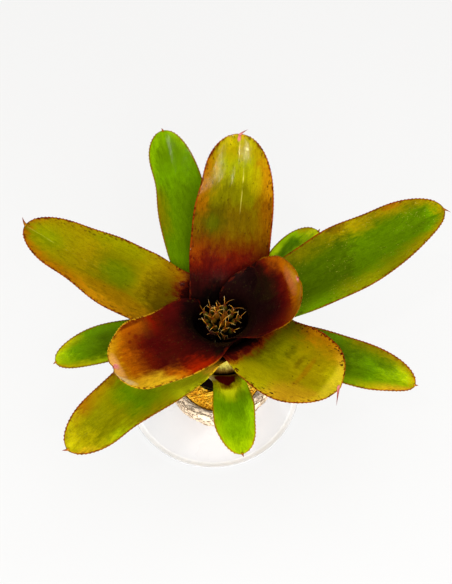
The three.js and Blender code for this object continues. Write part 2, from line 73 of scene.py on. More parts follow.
LEAF_WORDS = ("name", "azimuth", "neck_slope", "tip_slope", "length", "width", "neck", "widest", "blunt",
              "turn", "neck_z", "flare", "sheath", "notch", "spine")

# Where a margin swells or, below zero, pinches in: place along the blade and share of the half width.
SWELL_REACH = 0.17
LEFT_SWELLS = {
    "leaf_inner_right": [(0.65, -0.06)], "leaf_left_front": [(0.65, -0.09)], "leaf_back": [(0.65, -0.08)],
    "leaf_front_right": [(0.9, 0.06)], "leaf_left_back": [(0.65, -0.18)], "leaf_right": [(0.65, -0.08)],
    "leaf_front_left": [(0.65, -0.21)], "leaf_back_left": [(0.65, -0.24)], "leaf_right_low": [(0.9, 0.07)],
    "leaf_front": [(0.65, -0.08)]}
RIGHT_SWELLS = {
    "leaf_left_front": [(0.9, -0.16)], "leaf_front_right": [(0.9, -0.06)], "leaf_left_back": [(0.65, -0.05)],
    "leaf_right": [(0.9, -0.15)], "leaf_front_left": [(0.65, -0.07)], "leaf_right_low": [(0.9, -0.16)],
    "leaf_front": [(0.65, 0.08)]}

BOWL = {"centre": (-3, -8), "base": 4.35, "rim": 62, "radius": 60, "mouth": 49, "foot": 36, "floor": 12.35,
        "floor_radius": 38, "wave": 0.8, "split_scale": 1.0188534, "split_width": 0.09, "split_depth": 1.5,
        "flake": 1.1, "lump": 0.7, "wall": 50, "lip": 3}
POT = {"centre": (-3, 0), "base": 12.7, "rim": 79, "radius": 37, "foot": 27, "wall": 1.2, "lip": 6}
MIX_Z = 63
CRUMBS = {"count": 150, "nearest": 11, "farthest": 31, "sunk": 1.2, "small": 0.9, "large": 2.1}
COIR = {"top": 58, "gap": 0.7, "segments": 160, "rings": 12}
FIBRE = {"count": 900, "points": 8, "step": 1.3, "thick": 0.55, "inset": 1.5}
SAUCER = {"centre": (-10.7, -2), "radius": 102, "foot": 60, "height": 7.6, "well": 4}
STEM_TOP = 114
HEAD = {"centre": (-1.2, 0.9), "rim": 151, "radius": 14, "dome": 7, "lean": 28, "buds": 24, "waver": 0.12,
        "tilt_waver": 0.08}
BUD = {"length": 14, "radius": 2.7, "sepal": 9, "sepal_girth": 0.29, "sepal_root": 0.86}
GOLDEN = math.radians(137.508)


def srgb(red, green, blue, light=LIGHT_LEVEL):
    """The surface colour that looks like this screen colour, 0 to 255, in the studio light."""
    def linear(value):
        value /= 255
        return value / 12.92 if value <= 0.04045 else ((value + 0.055) / 1.055) ** 2.4
    return (linear(red) / light, linear(green) / light, linear(blue) / light, 1)


def lerp(a, b, t):
    return a + (b - a) * t


def clamp(x, low=0.0, high=1.0):
    return max(low, min(high, x))


def ease(x):
    x = clamp(x)
    return x * x * (3 - 2 * x)


def polar(radius, angle, z=0.0, centre=(0, 0)):
    """The point this far from an upright axis, in this direction and at this height."""
    return Vector((centre[0] + radius * math.cos(angle), centre[1] + radius * math.sin(angle), z))


# ---- shader expressions
def operator(operation, reflected=False):
    """A method that joins two values by a Math node."""
    def method(self, other):
        return self.math(operation, other, self) if reflected else self.math(operation, self, other)
    return method


class Wire:
    """A shader socket that can stand in a Python expression."""

    def __init__(self, finish, socket):
        self.finish = finish
        self.socket = socket

    def math(self, operation, *values):
        return self.finish.node("Math", {"operation": operation}, dict(enumerate(values)))

    __add__, __radd__ = operator("ADD"), operator("ADD", reflected=True)
    __sub__, __rsub__ = operator("SUBTRACT"), operator("SUBTRACT", reflected=True)
    __mul__, __rmul__ = operator("MULTIPLY"), operator("MULTIPLY", reflected=True)
    __pow__, at_most = operator("POWER"), operator("MINIMUM")

    def __truediv__(self, other):
        if isinstance(other, tuple):
            return self.finish.node("VectorMath", {"operation": "DIVIDE"}, {0: self, 1: other})
        return self.math("DIVIDE", self, other)

    def __abs__(self):
        return self.math("ABSOLUTE", self)

    def fraction(self):
        return self.math("FRACT", self)

    def rise(self, low, high):
        """0 below low, 1 above high, smooth between."""
        return self.finish.node("MapRange", {"interpolation_type": "SMOOTHSTEP"},
                                {"Value": self, "From Min": low, "From Max": high})

    def fall(self, low, high):
        return 1 - self.rise(low, high)


class Finish:
    """One material: its shader and the nodes that vary it."""

    def __init__(self, name, roughness=0.5, coat=0.0, specular=0.5):
        self.material = bpy.data.materials.new(name)
        self.material.use_nodes = True
        self.tree = self.material.node_tree
        self.shader = self.tree.nodes["Principled BSDF"]
        self.shader.inputs["Roughness"].default_value = roughness
        self.shader.inputs["Coat Weight"].default_value = coat
        self.shader.inputs["Specular IOR Level"].default_value = specular

    def join(self, value, socket):
        if isinstance(value, Wire):
            self.tree.links.new(value.socket, socket)
        else:
            socket.default_value = value

    def node(self, kind, settings=None, values=None, output=0):
        made = self.tree.nodes.new("ShaderNode" + kind)
        for key, value in (settings or {}).items():
            if key == "stops":
                ramp = made.color_ramp
                while len(ramp.elements) < len(value):
                    ramp.elements.new(1)
                for element, (place, colour) in zip(ramp.elements, value):
                    element.position = place
                    element.color = colour
            else:
                setattr(made, key, value)
        for key, value in (values or {}).items():
            self.join(value, made.inputs[key])
        return Wire(self, made.outputs[output])

    def axes(self, vector):
        parts = self.node("SeparateXYZ", values={"Vector": vector}).socket.node
        return [Wire(self, output) for output in parts.outputs]

    def attribute(self, name):
        return self.axes(self.node("Attribute", {"attribute_name": name}, output="Vector"))

    def position(self):
        return self.node("TexCoord", output="Object")

    def vector(self, x, y, z):
        return self.node("CombineXYZ", values={"X": x, "Y": y, "Z": z})

    def noise(self, vector, scale=1.0, detail=3.0, distortion=0.0):
        return self.node("TexNoise", values={"Vector": vector, "Scale": scale, "Detail": detail,
                                             "Roughness": NOISE_ROUGHNESS, "Distortion": distortion})

    def cells(self, vector, scale=1.0, output="Distance"):
        return self.node("TexVoronoi", values={"Vector": vector, "Scale": scale}, output=output)

    def dots(self, vector, size, share):
        """Round dots of this size, of which a finer random grid keeps this share."""
        chance = self.cells(vector, 5.0, "Color")
        return self.cells(vector).fall(size * 0.6, size) * chance.rise(0.98 - share, 1.02 - share)

    def ramp(self, value, stops):
        return self.node("ValToRGB", {"stops": stops}, {0: value})

    def mix(self, first, second, factor, blend="MIX"):
        """A Mix node set to colours has its factor at 0, the two colours at 6 and 7, the result at 2."""
        return self.node("Mix", {"data_type": "RGBA", "blend_type": blend},
                         {0: factor, 6: first, 7: second}, output=2)

    def layered(self, skin, *layers):
        """One colour after another laid over the first, each with its own mask."""
        for colour, mask in layers:
            skin = self.mix(skin, colour, mask)
        return skin

    def colour(self, value):
        self.join(value, self.shader.inputs["Base Color"])

    def rough(self, value):
        self.join(value, self.shader.inputs["Roughness"])

    def glow(self, value, strength):
        self.join(value, self.shader.inputs["Emission Color"])
        self.shader.inputs["Emission Strength"].default_value = strength

    def bump(self, height, distance, strength=1.0):
        normal = self.node("Bump", values={"Height": height, "Distance": distance,
                                           "Strength": strength})
        self.join(normal, self.shader.inputs["Normal"])


# ---- pieces
def add_object(name, data):
    thing = bpy.data.objects.new(name, data)
    bpy.context.scene.collection.objects.link(thing)
    return thing


def add_mesh(name, body, finish):
    mesh = bpy.data.meshes.new(name)
    body.to_mesh(mesh)
    body.free()
    mesh.materials.append(finish.material)
    return add_object(name, mesh)


def add_piece(name, body, finish, replaces, smooth=True):
    """Turns a bmesh in millimetres into a finished piece of the object."""
    for vert in body.verts:
        vert.co *= MM
    piece = add_mesh(name, body, finish)
    if smooth:
        piece.data.shade_smooth()
    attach(piece, "root")
    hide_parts(*replaces)


def close_up(body, centre):
    """Welds a body's seams, turns its faces outwards and moves it to its centre."""
    bmesh.ops.remove_doubles(body, verts=body.verts, dist=WELD)
    bmesh.ops.recalc_face_normals(body, faces=body.faces)
    bmesh.ops.translate(body, verts=body.verts, vec=(*centre, 0))


def spun(profile, steps, centre=(0, 0)):
    """A body of revolution round an upright axis from (radius, height) pairs."""
    body = bmesh.new()
    points = [body.verts.new((r, 0, z)) for r, z in profile]
    for a, b in zip(points, points[1:]):
        body.edges.new((a, b))
    bmesh.ops.spin(body, geom=body.verts[:] + body.edges[:], cent=(0, 0, 0), axis=(0, 0, 1),
                   angle=2 * math.pi, steps=steps, use_merge=True)
    close_up(body, centre)
    return body


def rounded(profile, steps=4, reach=0.45):
    """The same (radius, height) pairs with every inner corner rounded by a short curve."""
    smooth = [profile[0]]
    for before, corner, after in zip(profile, profile[1:], profile[2:]):
        start = [lerp(corner[i], before[i], reach) for i in range(2)]
        end = [lerp(corner[i], after[i], reach) for i in range(2)]
        for k in range(steps + 1):
            t = k / steps
            smooth.append(tuple(
                (1 - t) ** 2 * start[i] + 2 * t * (1 - t) * corner[i] + t * t * end[i] for i in range(2)))
    return smooth + [profile[-1]]


def unit_ball(body, around, upwards):
    """The vertices of a ball of radius 1, to be drawn out into a pod, a sepal or a spine."""
    return bmesh.ops.create_uvsphere(body, u_segments=around, v_segments=upwards, radius=1)["verts"]


# ---- leaves
class Rib:
    """The line that a leaf's middle follows, from the stem through the sheath to the tip."""

    def __init__(self, leaf):
        self.leaf = leaf
        rise = math.radians(SHEATH["rise"])
        self.bend = math.pi / 2 - rise
        arc = (leaf["radius"] - SHEATH["start"]) / (1 - math.sin(rise))
        self.cup = arc * self.bend
        cup_top = leaf["base_z"] + arc * math.cos(rise)
        self.opening = self.cup + max(leaf["neck_z"] - cup_top, 0)
        self.blade = self.opening + leaf["flare"]

    def share(self, s):
        """Place along the blade: below zero in the sheath, 0 at the neck and 1 at the tip."""
        return (s - self.blade) / self.leaf["length"]

    def along(self, s):
        return clamp(self.share(s))

    def open(self, s):
        return clamp((s - self.opening) / self.leaf["flare"])

    def slope(self, s):
        leaf = self.leaf
        cup = math.radians(SHEATH["rise"]) + self.bend * min(s / self.cup, 1)
        neck = lerp(cup, math.radians(leaf["neck_slope"]), ease(self.open(s)))
        return neck + math.radians(leaf["tip_slope"] - leaf["neck_slope"]) * self.along(s)

    def heading(self, s):
        return math.radians(self.leaf["azimuth"] + self.leaf["turn"] * self.along(s))

    def direction(self, s):
        slope = self.slope(s)
        return polar(math.cos(slope), self.heading(s), math.sin(slope))

    def across(self, s):
        heading = self.heading(s)
        return Vector((-math.sin(heading), math.cos(heading), 0))

    def width(self, s):
        leaf = self.leaf
        along, opened = self.along(s), self.open(s)
        if opened < 1:
            return lerp(leaf["sheath"], leaf["neck"] * leaf["width"], ease(opened))
        if along < leaf["widest"]:
            swell = math.sin(math.pi / 2 * along / leaf["widest"]) ** 2
            return leaf["width"] * lerp(leaf["neck"], 1, swell)
        beyond = (along - leaf["widest"]) / (1 - leaf["widest"])
        return leaf["width"] * math.sqrt(max(1 - beyond ** leaf["blunt"], 0))

    def stations(self):
        """Rows at even steps along the margin, so that the teeth are evenly spaced."""
        rows = [self.blade * i / SHEATH["rows"] for i in range(SHEATH["rows"])]
        fine, almost_tip = BLADE["fine_steps"], 0.9999
        run, table = 0.0, [(0.0, self.blade)]
        before = self.width(self.blade)
        for i in range(1, fine + 1):
            s = self.blade + self.leaf["length"] * min(i / fine, almost_tip)
            width = self.width(s)
            run += math.hypot(self.leaf["length"] / fine, (width - before) / 2)
            before = width
            table.append((run, s))
        count = round(run / BLADE["row"])
        k = 0
        for i in range(count + 1):
            want = run * i / count
            while k < fine - 1 and table[k + 1][0] < want:
                k += 1
            (low, s_low), (high, s_high) = table[k], table[k + 1]
            rows.append(lerp(s_low, s_high, clamp((want - low) / max(high - low, 1e-9))))
        return rows

    def centres(self, rows, stride=0.5):
        """The rib's place at each row, found by walking along it in short strides."""
        point = polar(SHEATH["start"], self.heading(0), self.leaf["base_z"])
        found, s = [], 0.0
        for row in rows:
            while s < row - 1e-9:
                step = min(stride, row - s)
                point = point + self.direction(s + step / 2) * step
                s += step
            found.append(point.copy())
        return found


def swollen(name, side, along):
    """How far out a point lies, as a share of the half width, once its margin's swells are counted."""
    reach = side
    for place, share in (LEFT_SWELLS if side > 0 else RIGHT_SWELLS).get(name, []):
        reach *= 1 + share * math.exp(-((along - place) / SWELL_REACH) ** 2)
    return reach


def leaf_section(rib, s, centre, sides):
    """Points across the leaf at one row: round the plant in the sheath, a shallow channel beyond."""
    leaf = rib.leaf
    along, opened = rib.along(s), ease(rib.open(s))
    r = math.hypot(centre.x, centre.y)
    width = min(rib.width(s), 2 * math.radians(SHEATH["wrap"]) * max(r, SHEATH["start"]))
    channel = math.radians(BLADE["channel"]) * (1 - BLADE["flatten"] * along * along)
    clasp = 1 - ease((s - rib.opening) / (leaf["flare"] + BLADE["settle"] * leaf["length"]))
    half = max(lerp(channel, width / (2 * leaf["radius"]), clasp), 1e-3)
    bend = width / (2 * half)
    across = rib.across(s)
    inward = rib.direction(s).cross(across)
    ripple = BLADE["ripple"] * ease(along * 3) * (1 - along ** 4)
    points = []
    for even in sides:
        side = swollen(leaf["name"], even, rib.share(s))
        around = polar(r, math.radians(leaf["azimuth"]) + width / (2 * max(r, 1)) * side, centre.z)
        wave = math.sin(s / BLADE["ripple_length"] + BLADE["ripple_lag"] * side + leaf["order"])
        lift = ripple * abs(side) ** 3 * wave
        lift -= BLADE["midrib"] * math.exp(-(side * width / BLADE["midrib_width"]) ** 2) * opened
        flat = (centre + across * (bend * math.sin(half * side))
                + inward * (bend * (1 - math.cos(half * side)) + lift))
        points.append(around.lerp(flat, opened))
    return points, width


def column_sides(columns):
    """Places from -1 to 1 across a leaf, closer together towards its margins."""
    evens = [2 * column / columns - 1 for column in range(columns + 1)]
    return [math.sin(math.pi / 2 * even) * 0.5 + even * 0.5 for even in evens]


def two_sided_grid(columns, rows):
    """A flat grid from -1 to 1 with its underside at -1, closed at the rim."""
    body = bmesh.new()
    bmesh.ops.create_grid(body, x_segments=columns, y_segments=rows, size=1)
    under = bmesh.ops.extrude_face_region(body, geom=body.faces[:], use_keep_orig=True)["geom"]
    for vert in under:
        if isinstance(vert, bmesh.types.BMVert):
            vert.co.z = -1
    return body


def leaf_thickness(along, side):
    middle = lerp(BLADE["thickness"], BLADE["tip_thickness"], clamp(along))
    return lerp(middle, BLADE["edge"], abs(side) ** 10)


def notch_depth(leaf, along, inside):
    """How far the tip is drawn in at this distance from the leaf's middle."""
    begun = ease((along - BLADE["notch_from"]) / (1 - BLADE["notch_from"]))
    return leaf["notch"] * math.exp(-(inside / BLADE["notch_width"]) ** 2) * begun


def spine_into(body, place, run, tip, forward, sideways, leaf):
    """The short hard hooked spine that ends a leaf."""
    ahead, aside, above = leaf["spine"]
    length = math.hypot(ahead, aside, above)
    up = forward.cross(sideways)
    girth = SPINE["girth"] + SPINE["girth_share"] * length
    for vert in unit_ball(body, 8, 12):
        reach = (vert.co.z + 1) / 2
        ring = (1 - reach ** SPINE["taper"]) * girth / max(math.hypot(vert.co.x, vert.co.y), SPINE["pole"])
        line = forward * (ahead * reach - SPINE["sunk"])
        line += sideways * (aside * reach ** 1.5)
        line += up * (above * reach ** 2)
        vert.co = tip + line + sideways * (vert.co.x * ring) + up * (vert.co.y * ring)
        vert[place] = Vector((1.05 + 0.05 * reach, 0, 1))
        vert[run] = Vector((leaf["length"] + reach * length, 0, 4))


def make_leaf(leaf, finish):
    """A closed blade with teeth and a spine; "place" and "run" tell its finish where a point lies."""
    rib = Rib(leaf)
    rows = rib.stations()
    centres = rib.centres(rows)
    columns, last = BLADE["columns"], len(rows) - 1
    sides = column_sides(columns)
    sections, widths = zip(*[leaf_section(rib, s, c, sides) for s, c in zip(rows, centres)])
    body = two_sided_grid(columns, last)
    place = body.verts.layers.float_vector.new("place")
    run = body.verts.layers.float_vector.new("run")
    for vert in body.verts:
        column = round((vert.co.x + 1) / 2 * columns)
        row = round((vert.co.y + 1) / 2 * last)
        face = 1 if vert.co.z > -0.5 else -1
        side, s = sides[column], rows[row]
        along, forward, half_width = rib.share(s), rib.direction(s), widths[row] / 2
        down = sections[min(row + 1, last)][column] - sections[max(row - 1, 0)][column]
        over = sections[row][min(column + 1, columns)] - sections[row][max(column - 1, 0)]
        normal = down.cross(over).normalized()
        point = sections[row][column].copy()
        toothed = row % TOOTH["every"] == 0 and TOOTH["first"] < along < TOOTH["last"]
        if column in (0, columns) and toothed:
            inner = sections[row][1 if column == 0 else columns - 1]
            point += (point - inner).normalized() * TOOTH["height"] + forward * TOOTH["lean"]
        point -= forward * notch_depth(leaf, along, abs(side) * half_width)
        vert.co = point + normal * (face * leaf_thickness(along, side) / 2)
        vert[place] = Vector((along, side, face))
        vert[run] = Vector((s - rib.blade, side * half_width, (1 - abs(side)) * half_width))
    forward = rib.direction(rows[-1])
    tip = centres[-1] - forward * leaf["notch"]
    spine_into(body, place, run, tip, forward, rib.across(rows[-1]), leaf)
    bmesh.ops.recalc_face_normals(body, faces=body.faces)
    add_piece(leaf["name"] + "_fine", body, finish, [leaf["name"]])


# Colours of the leaves, from the cup outwards.
INK = srgb(17, 7, 7)
SOOT = srgb(30, 9, 9)
WINE = srgb(50, 10, 9)
MAROON = srgb(80, 11, 9)
CRIMSON = srgb(106, 24, 5)
SCARLET = srgb(146, 28, 4)
EMBER = srgb(135, 58, 4)
RUST = srgb(106, 58, 1)
BRONZE = srgb(108, 84, 1)
COPPER = srgb(140, 84, 2)
FLAME = srgb(176, 90, 3)
AMBER = srgb(170, 110, 3)
ORANGE = srgb(196, 134, 8)
HONEY = srgb(216, 162, 24)
MUSTARD = srgb(166, 146, 2)
DRAB = srgb(146, 124, 2)
OLIVE = srgb(118, 112, 1)
KHAKI = srgb(140, 136, 1)
PEAR = srgb(160, 160, 3)
GOLD = srgb(184, 170, 4)
YELLOW = srgb(202, 190, 8)
MOSS = srgb(82, 76, 1)
FERN = srgb(76, 100, 1)
GREEN = srgb(90, 122, 1)
GRASS = srgb(102, 142, 1)
BRIGHT = srgb(122, 162, 1)
LIME = srgb(150, 182, 3)
CITRON = srgb(182, 200, 5)
BRICK = srgb(150, 54, 6)
DRIED = srgb(92, 20, 4)
SUN = srgb(244, 190, 30)
CREAM = srgb(240, 216, 166)
# The next five colours are painted light: brighter than the leaves themselves, for parts that lie in another
# leaf's shade or turn from the light.
IVORY_PAINTED_LIGHT = (0.92, 0.82, 0.48, 1)
MARIGOLD_PAINTED_LIGHT = (1.0, 0.56, 0.02, 1)
LEMON_PAINTED_LIGHT = srgb(232, 236, 20)
BLAZE_PAINTED_LIGHT = srgb(186, 38, 3)
TORCH_PAINTED_LIGHT = srgb(224, 118, 6)
PINK = srgb(236, 140, 130)
STRAW = srgb(240, 222, 96)
TAN = srgb(200, 150, 60)
UMBER = srgb(92, 52, 8)
SALMON = srgb(196, 112, 66)
PEACH = srgb(250, 176, 104)
BUTTER = srgb(246, 218, 40)
# The next two colours are painted light too, for leaf parts in shade.
SPRING_PAINTED_LIGHT = srgb(222, 262, 10)
APPLE_PAINTED_LIGHT = srgb(152, 198, 4)
JADE = srgb(70, 122, 1)


# For each leaf, colours at places along the blade, 0 at the neck and 1 at the tip, down its middle and
# down its two margins; how strongly its dashes, dried blotches and pale specks show; its edge line and
# tip; and single patches as (along, side, half length, half width, colour, strength).
# Many stops are set brighter where a leaf lies in another leaf's shade or turns from the light: painted
# light.
LEAF_LOOKS = {}
LEAF_LOOKS["leaf_inner_right"] = dict(
    middle=[(0.3, SOOT), (0.48, WINE), (0.6, MAROON), (0.7, CRIMSON), (0.8, FLAME), (0.9, AMBER)],
    low=[(-0.2, SOOT), (0.15, WINE), (0.4, MAROON), (0.55, CRIMSON), (0.7, EMBER), (0.85, COPPER),
         (1, AMBER)],
    high=[(0.15, SOOT), (0.3, WINE), (0.4, MAROON), (0.48, CRIMSON), (0.57, EMBER), (0.8, FLAME), (1, AMBER)],
    marks=(0.3, 0.7, 0.12), edge=COPPER, tip=PINK, edge_starts=(0.3, 0.5),
    # The INK patch by the neck is painted shadow, where leaf_back's base shades it.
    patches=[(0.84, 0.1, 0.09, 0.5, SALMON, 0.5), (0.92, 0.15, 0.06, 0.35, HONEY, 0.3),
             (0.99, 0.0, 0.05, 0.25, PINK, 0.8), (0.02, 0.5, 0.14, 0.5, INK, 0.6)])
LEAF_LOOKS["leaf_left_front"] = dict(
    middle=[(-0.1, INK), (0.05, WINE), (0.25, MAROON), (0.5, MAROON), (0.62, CRIMSON), (0.72, EMBER),
            (0.83, FLAME), (0.92, ORANGE), (1, HONEY)],
    low=[(-0.1, SOOT), (0.0, MAROON), (0.15, MAROON), (0.25, CRIMSON), (0.34, SCARLET), (0.43, EMBER),
         (0.54, FLAME), (0.72, FLAME), (0.87, ORANGE), (1, HONEY)],
    # The high margin's colours, and the SUN patch along it, are painted light that lifts the shade on this
    # side.
    high=[(0.03, INK), (0.08, MAROON), (0.14, SCARLET), (0.24, BLAZE_PAINTED_LIGHT), (0.36, BLAZE_PAINTED_LIGHT), (0.46, TORCH_PAINTED_LIGHT),
          (0.55, TORCH_PAINTED_LIGHT), (0.64, SUN), (0.8, SUN), (0.88, HONEY), (1, SUN)],
    marks=(0.3, 0.8, 0.15), edge=HONEY, tip=PINK, gloss=0.05,
    patches=[(0.96, 0.05, 0.05, 0.75, PEACH, 0.55), (0.95, 0.8, 0.08, 0.16, CREAM, 0.5),
             (1.0, 0.0, 0.06, 0.2, PINK, 1.2), (0.6, -0.93, 0.14, 0.07, DRIED, 0.8),
             (0.66, 0.9, 0.16, 0.12, SUN, 0.9), (0.61, -0.58, 0.03, 0.06, CRIMSON, 0.7),
             (0.7, -0.52, 0.02, 0.05, CRIMSON, 0.7), (0.66, -0.72, 0.02, 0.04, CRIMSON, 0.6)])
LEAF_LOOKS["leaf_back"] = dict(
    middle=[(-0.14, INK), (-0.07, WINE), (0.02, MAROON), (0.12, CRIMSON), (0.23, RUST), (0.34, BRONZE),
            (0.44, BRONZE), (0.54, OLIVE), (0.6, OLIVE), (0.68, KHAKI), (0.8, PEAR), (0.9, MUSTARD),
            (0.96, GOLD), (1, HONEY)],
    low=[(0.03, WINE), (0.12, CRIMSON), (0.25, RUST), (0.38, COPPER), (0.52, COPPER), (0.64, ORANGE),
         (0.78, ORANGE), (0.9, MUSTARD), (1, GOLD)],
    high=[(-0.1, SOOT), (0.0, WINE), (0.08, CRIMSON), (0.16, EMBER), (0.25, RUST), (0.36, BRONZE),
          (0.5, COPPER), (0.62, AMBER), (0.78, AMBER), (0.88, MUSTARD), (1, GOLD)],
    # Its pale vein is partly a painted highlight along the crease.
    marks=(1.0, 1.0, 0.1), edge=BRICK, tip=PINK, vein=(-6.5, 0.8),
    patches=[(0.4, 0.45, 0.13, 0.3, MOSS, 0.7), (0.36, 0.5, 0.06, 0.15, FERN, 0.4),
             (0.56, 0.5, 0.08, 0.22, OLIVE, 0.7), (0.68, -0.5, 0.1, 0.2, GOLD, 0.5),
             (0.1, 0.5, 0.07, 0.2, MAROON, 0.5), (0.1, -0.5, 0.07, 0.2, MAROON, 0.5),
             (0.985, 0.0, 0.035, 0.12, PINK, 1.1)])
LEAF_LOOKS["leaf_front_right"] = dict(
    middle=[(-0.05, SOOT), (-0.01, CRIMSON), (0.03, EMBER), (0.07, BRONZE), (0.14, OLIVE), (0.27, KHAKI),
            (0.6, MUSTARD), (0.76, MUSTARD), (0.86, GOLD), (0.93, YELLOW)],
    low=[(-0.1, WINE), (-0.03, MAROON), (0.01, CRIMSON), (0.05, AMBER), (0.1, GOLD), (0.22, GOLD),
         (0.4, YELLOW), (0.54, SUN), (0.66, HONEY), (0.8, SUN)],
    high=[(-0.1, WINE), (0.03, CRIMSON), (0.1, RUST), (0.16, MOSS), (0.26, BRONZE), (0.36, COPPER),
          (0.48, AMBER), (0.62, AMBER), (0.76, ORANGE), (0.88, HONEY)],
    marks=(1.3, 1.2, 0.1), edge=BRICK, tip=PINK,
    patches=[(0.62, 0.45, 0.08, 0.2, DRAB, 0.5), (0.3, -0.55, 0.2, 0.2, GOLD, 0.6),
             (0.68, -0.6, 0.22, 0.25, HONEY, 0.5), (0.95, 0.0, 0.08, 1.2, BUTTER, 0.8),
             (0.0, -0.4, 0.03, 0.35, MAROON, 0.9), (0.62, 0.0, 0.03, 0.4, AMBER, 0.6),
             (0.5, 0.15, 0.03, 0.2, BRONZE, 0.6), (0.36, 0.3, 0.05, 0.2, MOSS, 0.5),
             (1.0, 0.0, 0.025, 0.1, PINK, 0.8)])
LEAF_LOOKS["leaf_left_back"] = dict(
    middle=[(-0.12, INK), (-0.04, WINE), (-0.01, CRIMSON), (0.05, BRONZE), (0.12, BRONZE), (0.24, DRAB),
            (0.33, OLIVE), (0.48, OLIVE), (0.6, DRAB), (0.85, KHAKI), (0.94, KHAKI), (1, COPPER)],
    low=[(-0.1, INK), (-0.05, WINE), (-0.03, CRIMSON), (0.01, COPPER), (0.2, DRAB), (0.35, KHAKI),
         (0.55, KHAKI), (0.7, DRAB), (0.9, DRAB), (1, AMBER)],
    high=[(-0.08, CRIMSON), (-0.02, AMBER), (0.1, ORANGE), (0.5, ORANGE), (0.65, AMBER)],
    marks=(0.8, 1.0, 0.15), edge=BRICK, tip=AMBER, vein=(0, 0.14), gloss=0.04,
    patches=[(0.38, -0.1, 0.12, 0.3, GREEN, 0.5), (0.85, -0.05, 0.1, 0.3, GRASS, 0.3),
             (0.36, 0.5, 0.2, 0.2, AMBER, 0.5)])
LEAF_LOOKS["leaf_right"] = dict(
    middle=[(-0.2, WINE), (-0.05, OLIVE), (0.08, FERN), (0.44, FERN), (0.56, GREEN), (0.88, GREEN),
            (0.95, GRASS), (1, MUSTARD)],
    low=[(-0.1, OLIVE), (0.05, BRIGHT), (0.3, BRIGHT), (0.4, PEAR), (0.54, PEAR), (0.66, KHAKI),
         (0.85, MUSTARD)],
    high=[(0.4, OLIVE), (0.5, DRAB), (0.56, MUSTARD), (0.66, DRAB), (0.88, DRAB), (1, MUSTARD)],
    marks=(0.4, 0.6, 0.8), edge=BRICK, tip=AMBER,
    patches=[(0.48, 0.9, 0.05, 0.12, RUST, 0.4), (0.78, 0.9, 0.05, 0.1, FLAME, 0.5)])
LEAF_LOOKS["leaf_front_left"] = dict(
    # Its neck lies in leaf_left_front's shade: the bright colours near the neck are painted light.
    middle=[(-0.2, WINE), (-0.05, GOLD), (0.05, LEMON_PAINTED_LIGHT), (0.2, LEMON_PAINTED_LIGHT), (0.35, CITRON), (0.5, BRIGHT),
            (0.64, KHAKI), (0.8, KHAKI), (0.9, GOLD), (1, YELLOW)],
    low=[(-0.1, OLIVE), (0.1, GOLD), (0.35, KHAKI), (0.5, DRAB), (0.62, MUSTARD), (0.75, AMBER),
         (0.88, GOLD)],
    high=[(-0.1, FLAME), (-0.04, MARIGOLD_PAINTED_LIGHT), (0.05, MARIGOLD_PAINTED_LIGHT), (0.1, LEMON_PAINTED_LIGHT), (0.3, LEMON_PAINTED_LIGHT), (0.4, GOLD),
          (0.54, MUSTARD), (0.64, PEAR), (0.74, CITRON), (0.84, YELLOW), (1, SUN)],
    marks=(0.3, 0.6, 0.1), glow=True, edge=BRICK, tip=ORANGE,
    patches=[(0.45, 0.2, 0.08, 0.3, BRIGHT, 0.5), (0.57, -0.9, 0.1, 0.2, AMBER, 0.4)])
LEAF_LOOKS["leaf_back_left"] = dict(
    middle=[(-0.1, OLIVE), (0.05, GRASS), (0.2, GREEN), (0.55, GREEN), (0.7, GRASS), (0.85, GREEN),
            (1, BRIGHT)],
    low=[(-0.1, OLIVE), (0.1, GRASS), (0.8, GRASS), (1, LIME)],
    high=[(-0.1, OLIVE), (0.1, GREEN), (0.25, GREEN), (0.4, OLIVE), (0.55, OLIVE), (0.66, GRASS),
          (0.78, BRIGHT)],
    marks=(0.15, 0.3, 0.2), edge=COPPER, tip=AMBER, gloss=0.03)
LEAF_LOOKS["leaf_right_back"] = dict(
    middle=[(-0.1, OLIVE), (0.1, GRASS), (0.5, CITRON), (0.68, LIME), (0.85, LIME), (1, LEMON_PAINTED_LIGHT)],
    low=[(-0.1, OLIVE), (0.1, GREEN), (0.6, BRIGHT), (0.8, LIME), (1, CITRON)],
    # The high margin lies in leaf_back's shade: its bright colours are painted light.
    high=[(-0.1, OLIVE), (0.1, SPRING_PAINTED_LIGHT), (0.42, SPRING_PAINTED_LIGHT), (0.54, APPLE_PAINTED_LIGHT), (0.76, APPLE_PAINTED_LIGHT), (0.88, MUSTARD)],
    marks=(0.1, 0.15, 0.1), edge=COPPER, tip=AMBER, gloss=0.1,
    patches=[(0.54, 0.45, 0.22, 0.3, JADE, 0.85)])
LEAF_LOOKS["leaf_right_low"] = dict(
    middle=[(-0.1, OLIVE), (0.1, FERN), (0.46, FERN), (0.58, GREEN), (0.7, GRASS), (0.84, LIME),
            (0.94, CITRON), (1, GOLD)],
    low=[(-0.1, OLIVE), (0.1, GRASS), (0.4, BRIGHT), (0.6, LIME), (0.72, YELLOW), (0.84, SUN), (1, HONEY)],
    high=[(-0.1, OLIVE), (0.1, FERN), (0.42, GREEN), (0.54, OLIVE), (0.7, OLIVE), (0.82, DRAB),
          (0.94, MUSTARD), (1, ORANGE)],
    marks=(0.2, 0.5, 0.1), edge=BRICK, tip=ORANGE,
    patches=[(0.75, 0.5, 0.1, 0.25, FERN, 0.7)])
LEAF_LOOKS["leaf_left_low"] = dict(
    middle=[(-0.1, OLIVE), (0.1, GREEN), (0.35, GREEN), (0.48, FERN), (0.65, GREEN), (0.78, GRASS),
            (0.88, LIME), (1, CITRON)],
    low=[(-0.1, OLIVE), (0.1, GRASS), (0.35, BRIGHT), (0.5, GRASS), (0.65, GRASS), (0.76, PEAR), (0.88, GOLD),
         (1, CITRON)],
    high=[(-0.1, OLIVE), (0.1, BRIGHT), (0.4, CITRON), (0.62, CITRON), (0.78, YELLOW), (0.9, GOLD),
          (1, ORANGE)],
    marks=(0.15, 0.3, 0.1), edge=COPPER, tip=ORANGE)
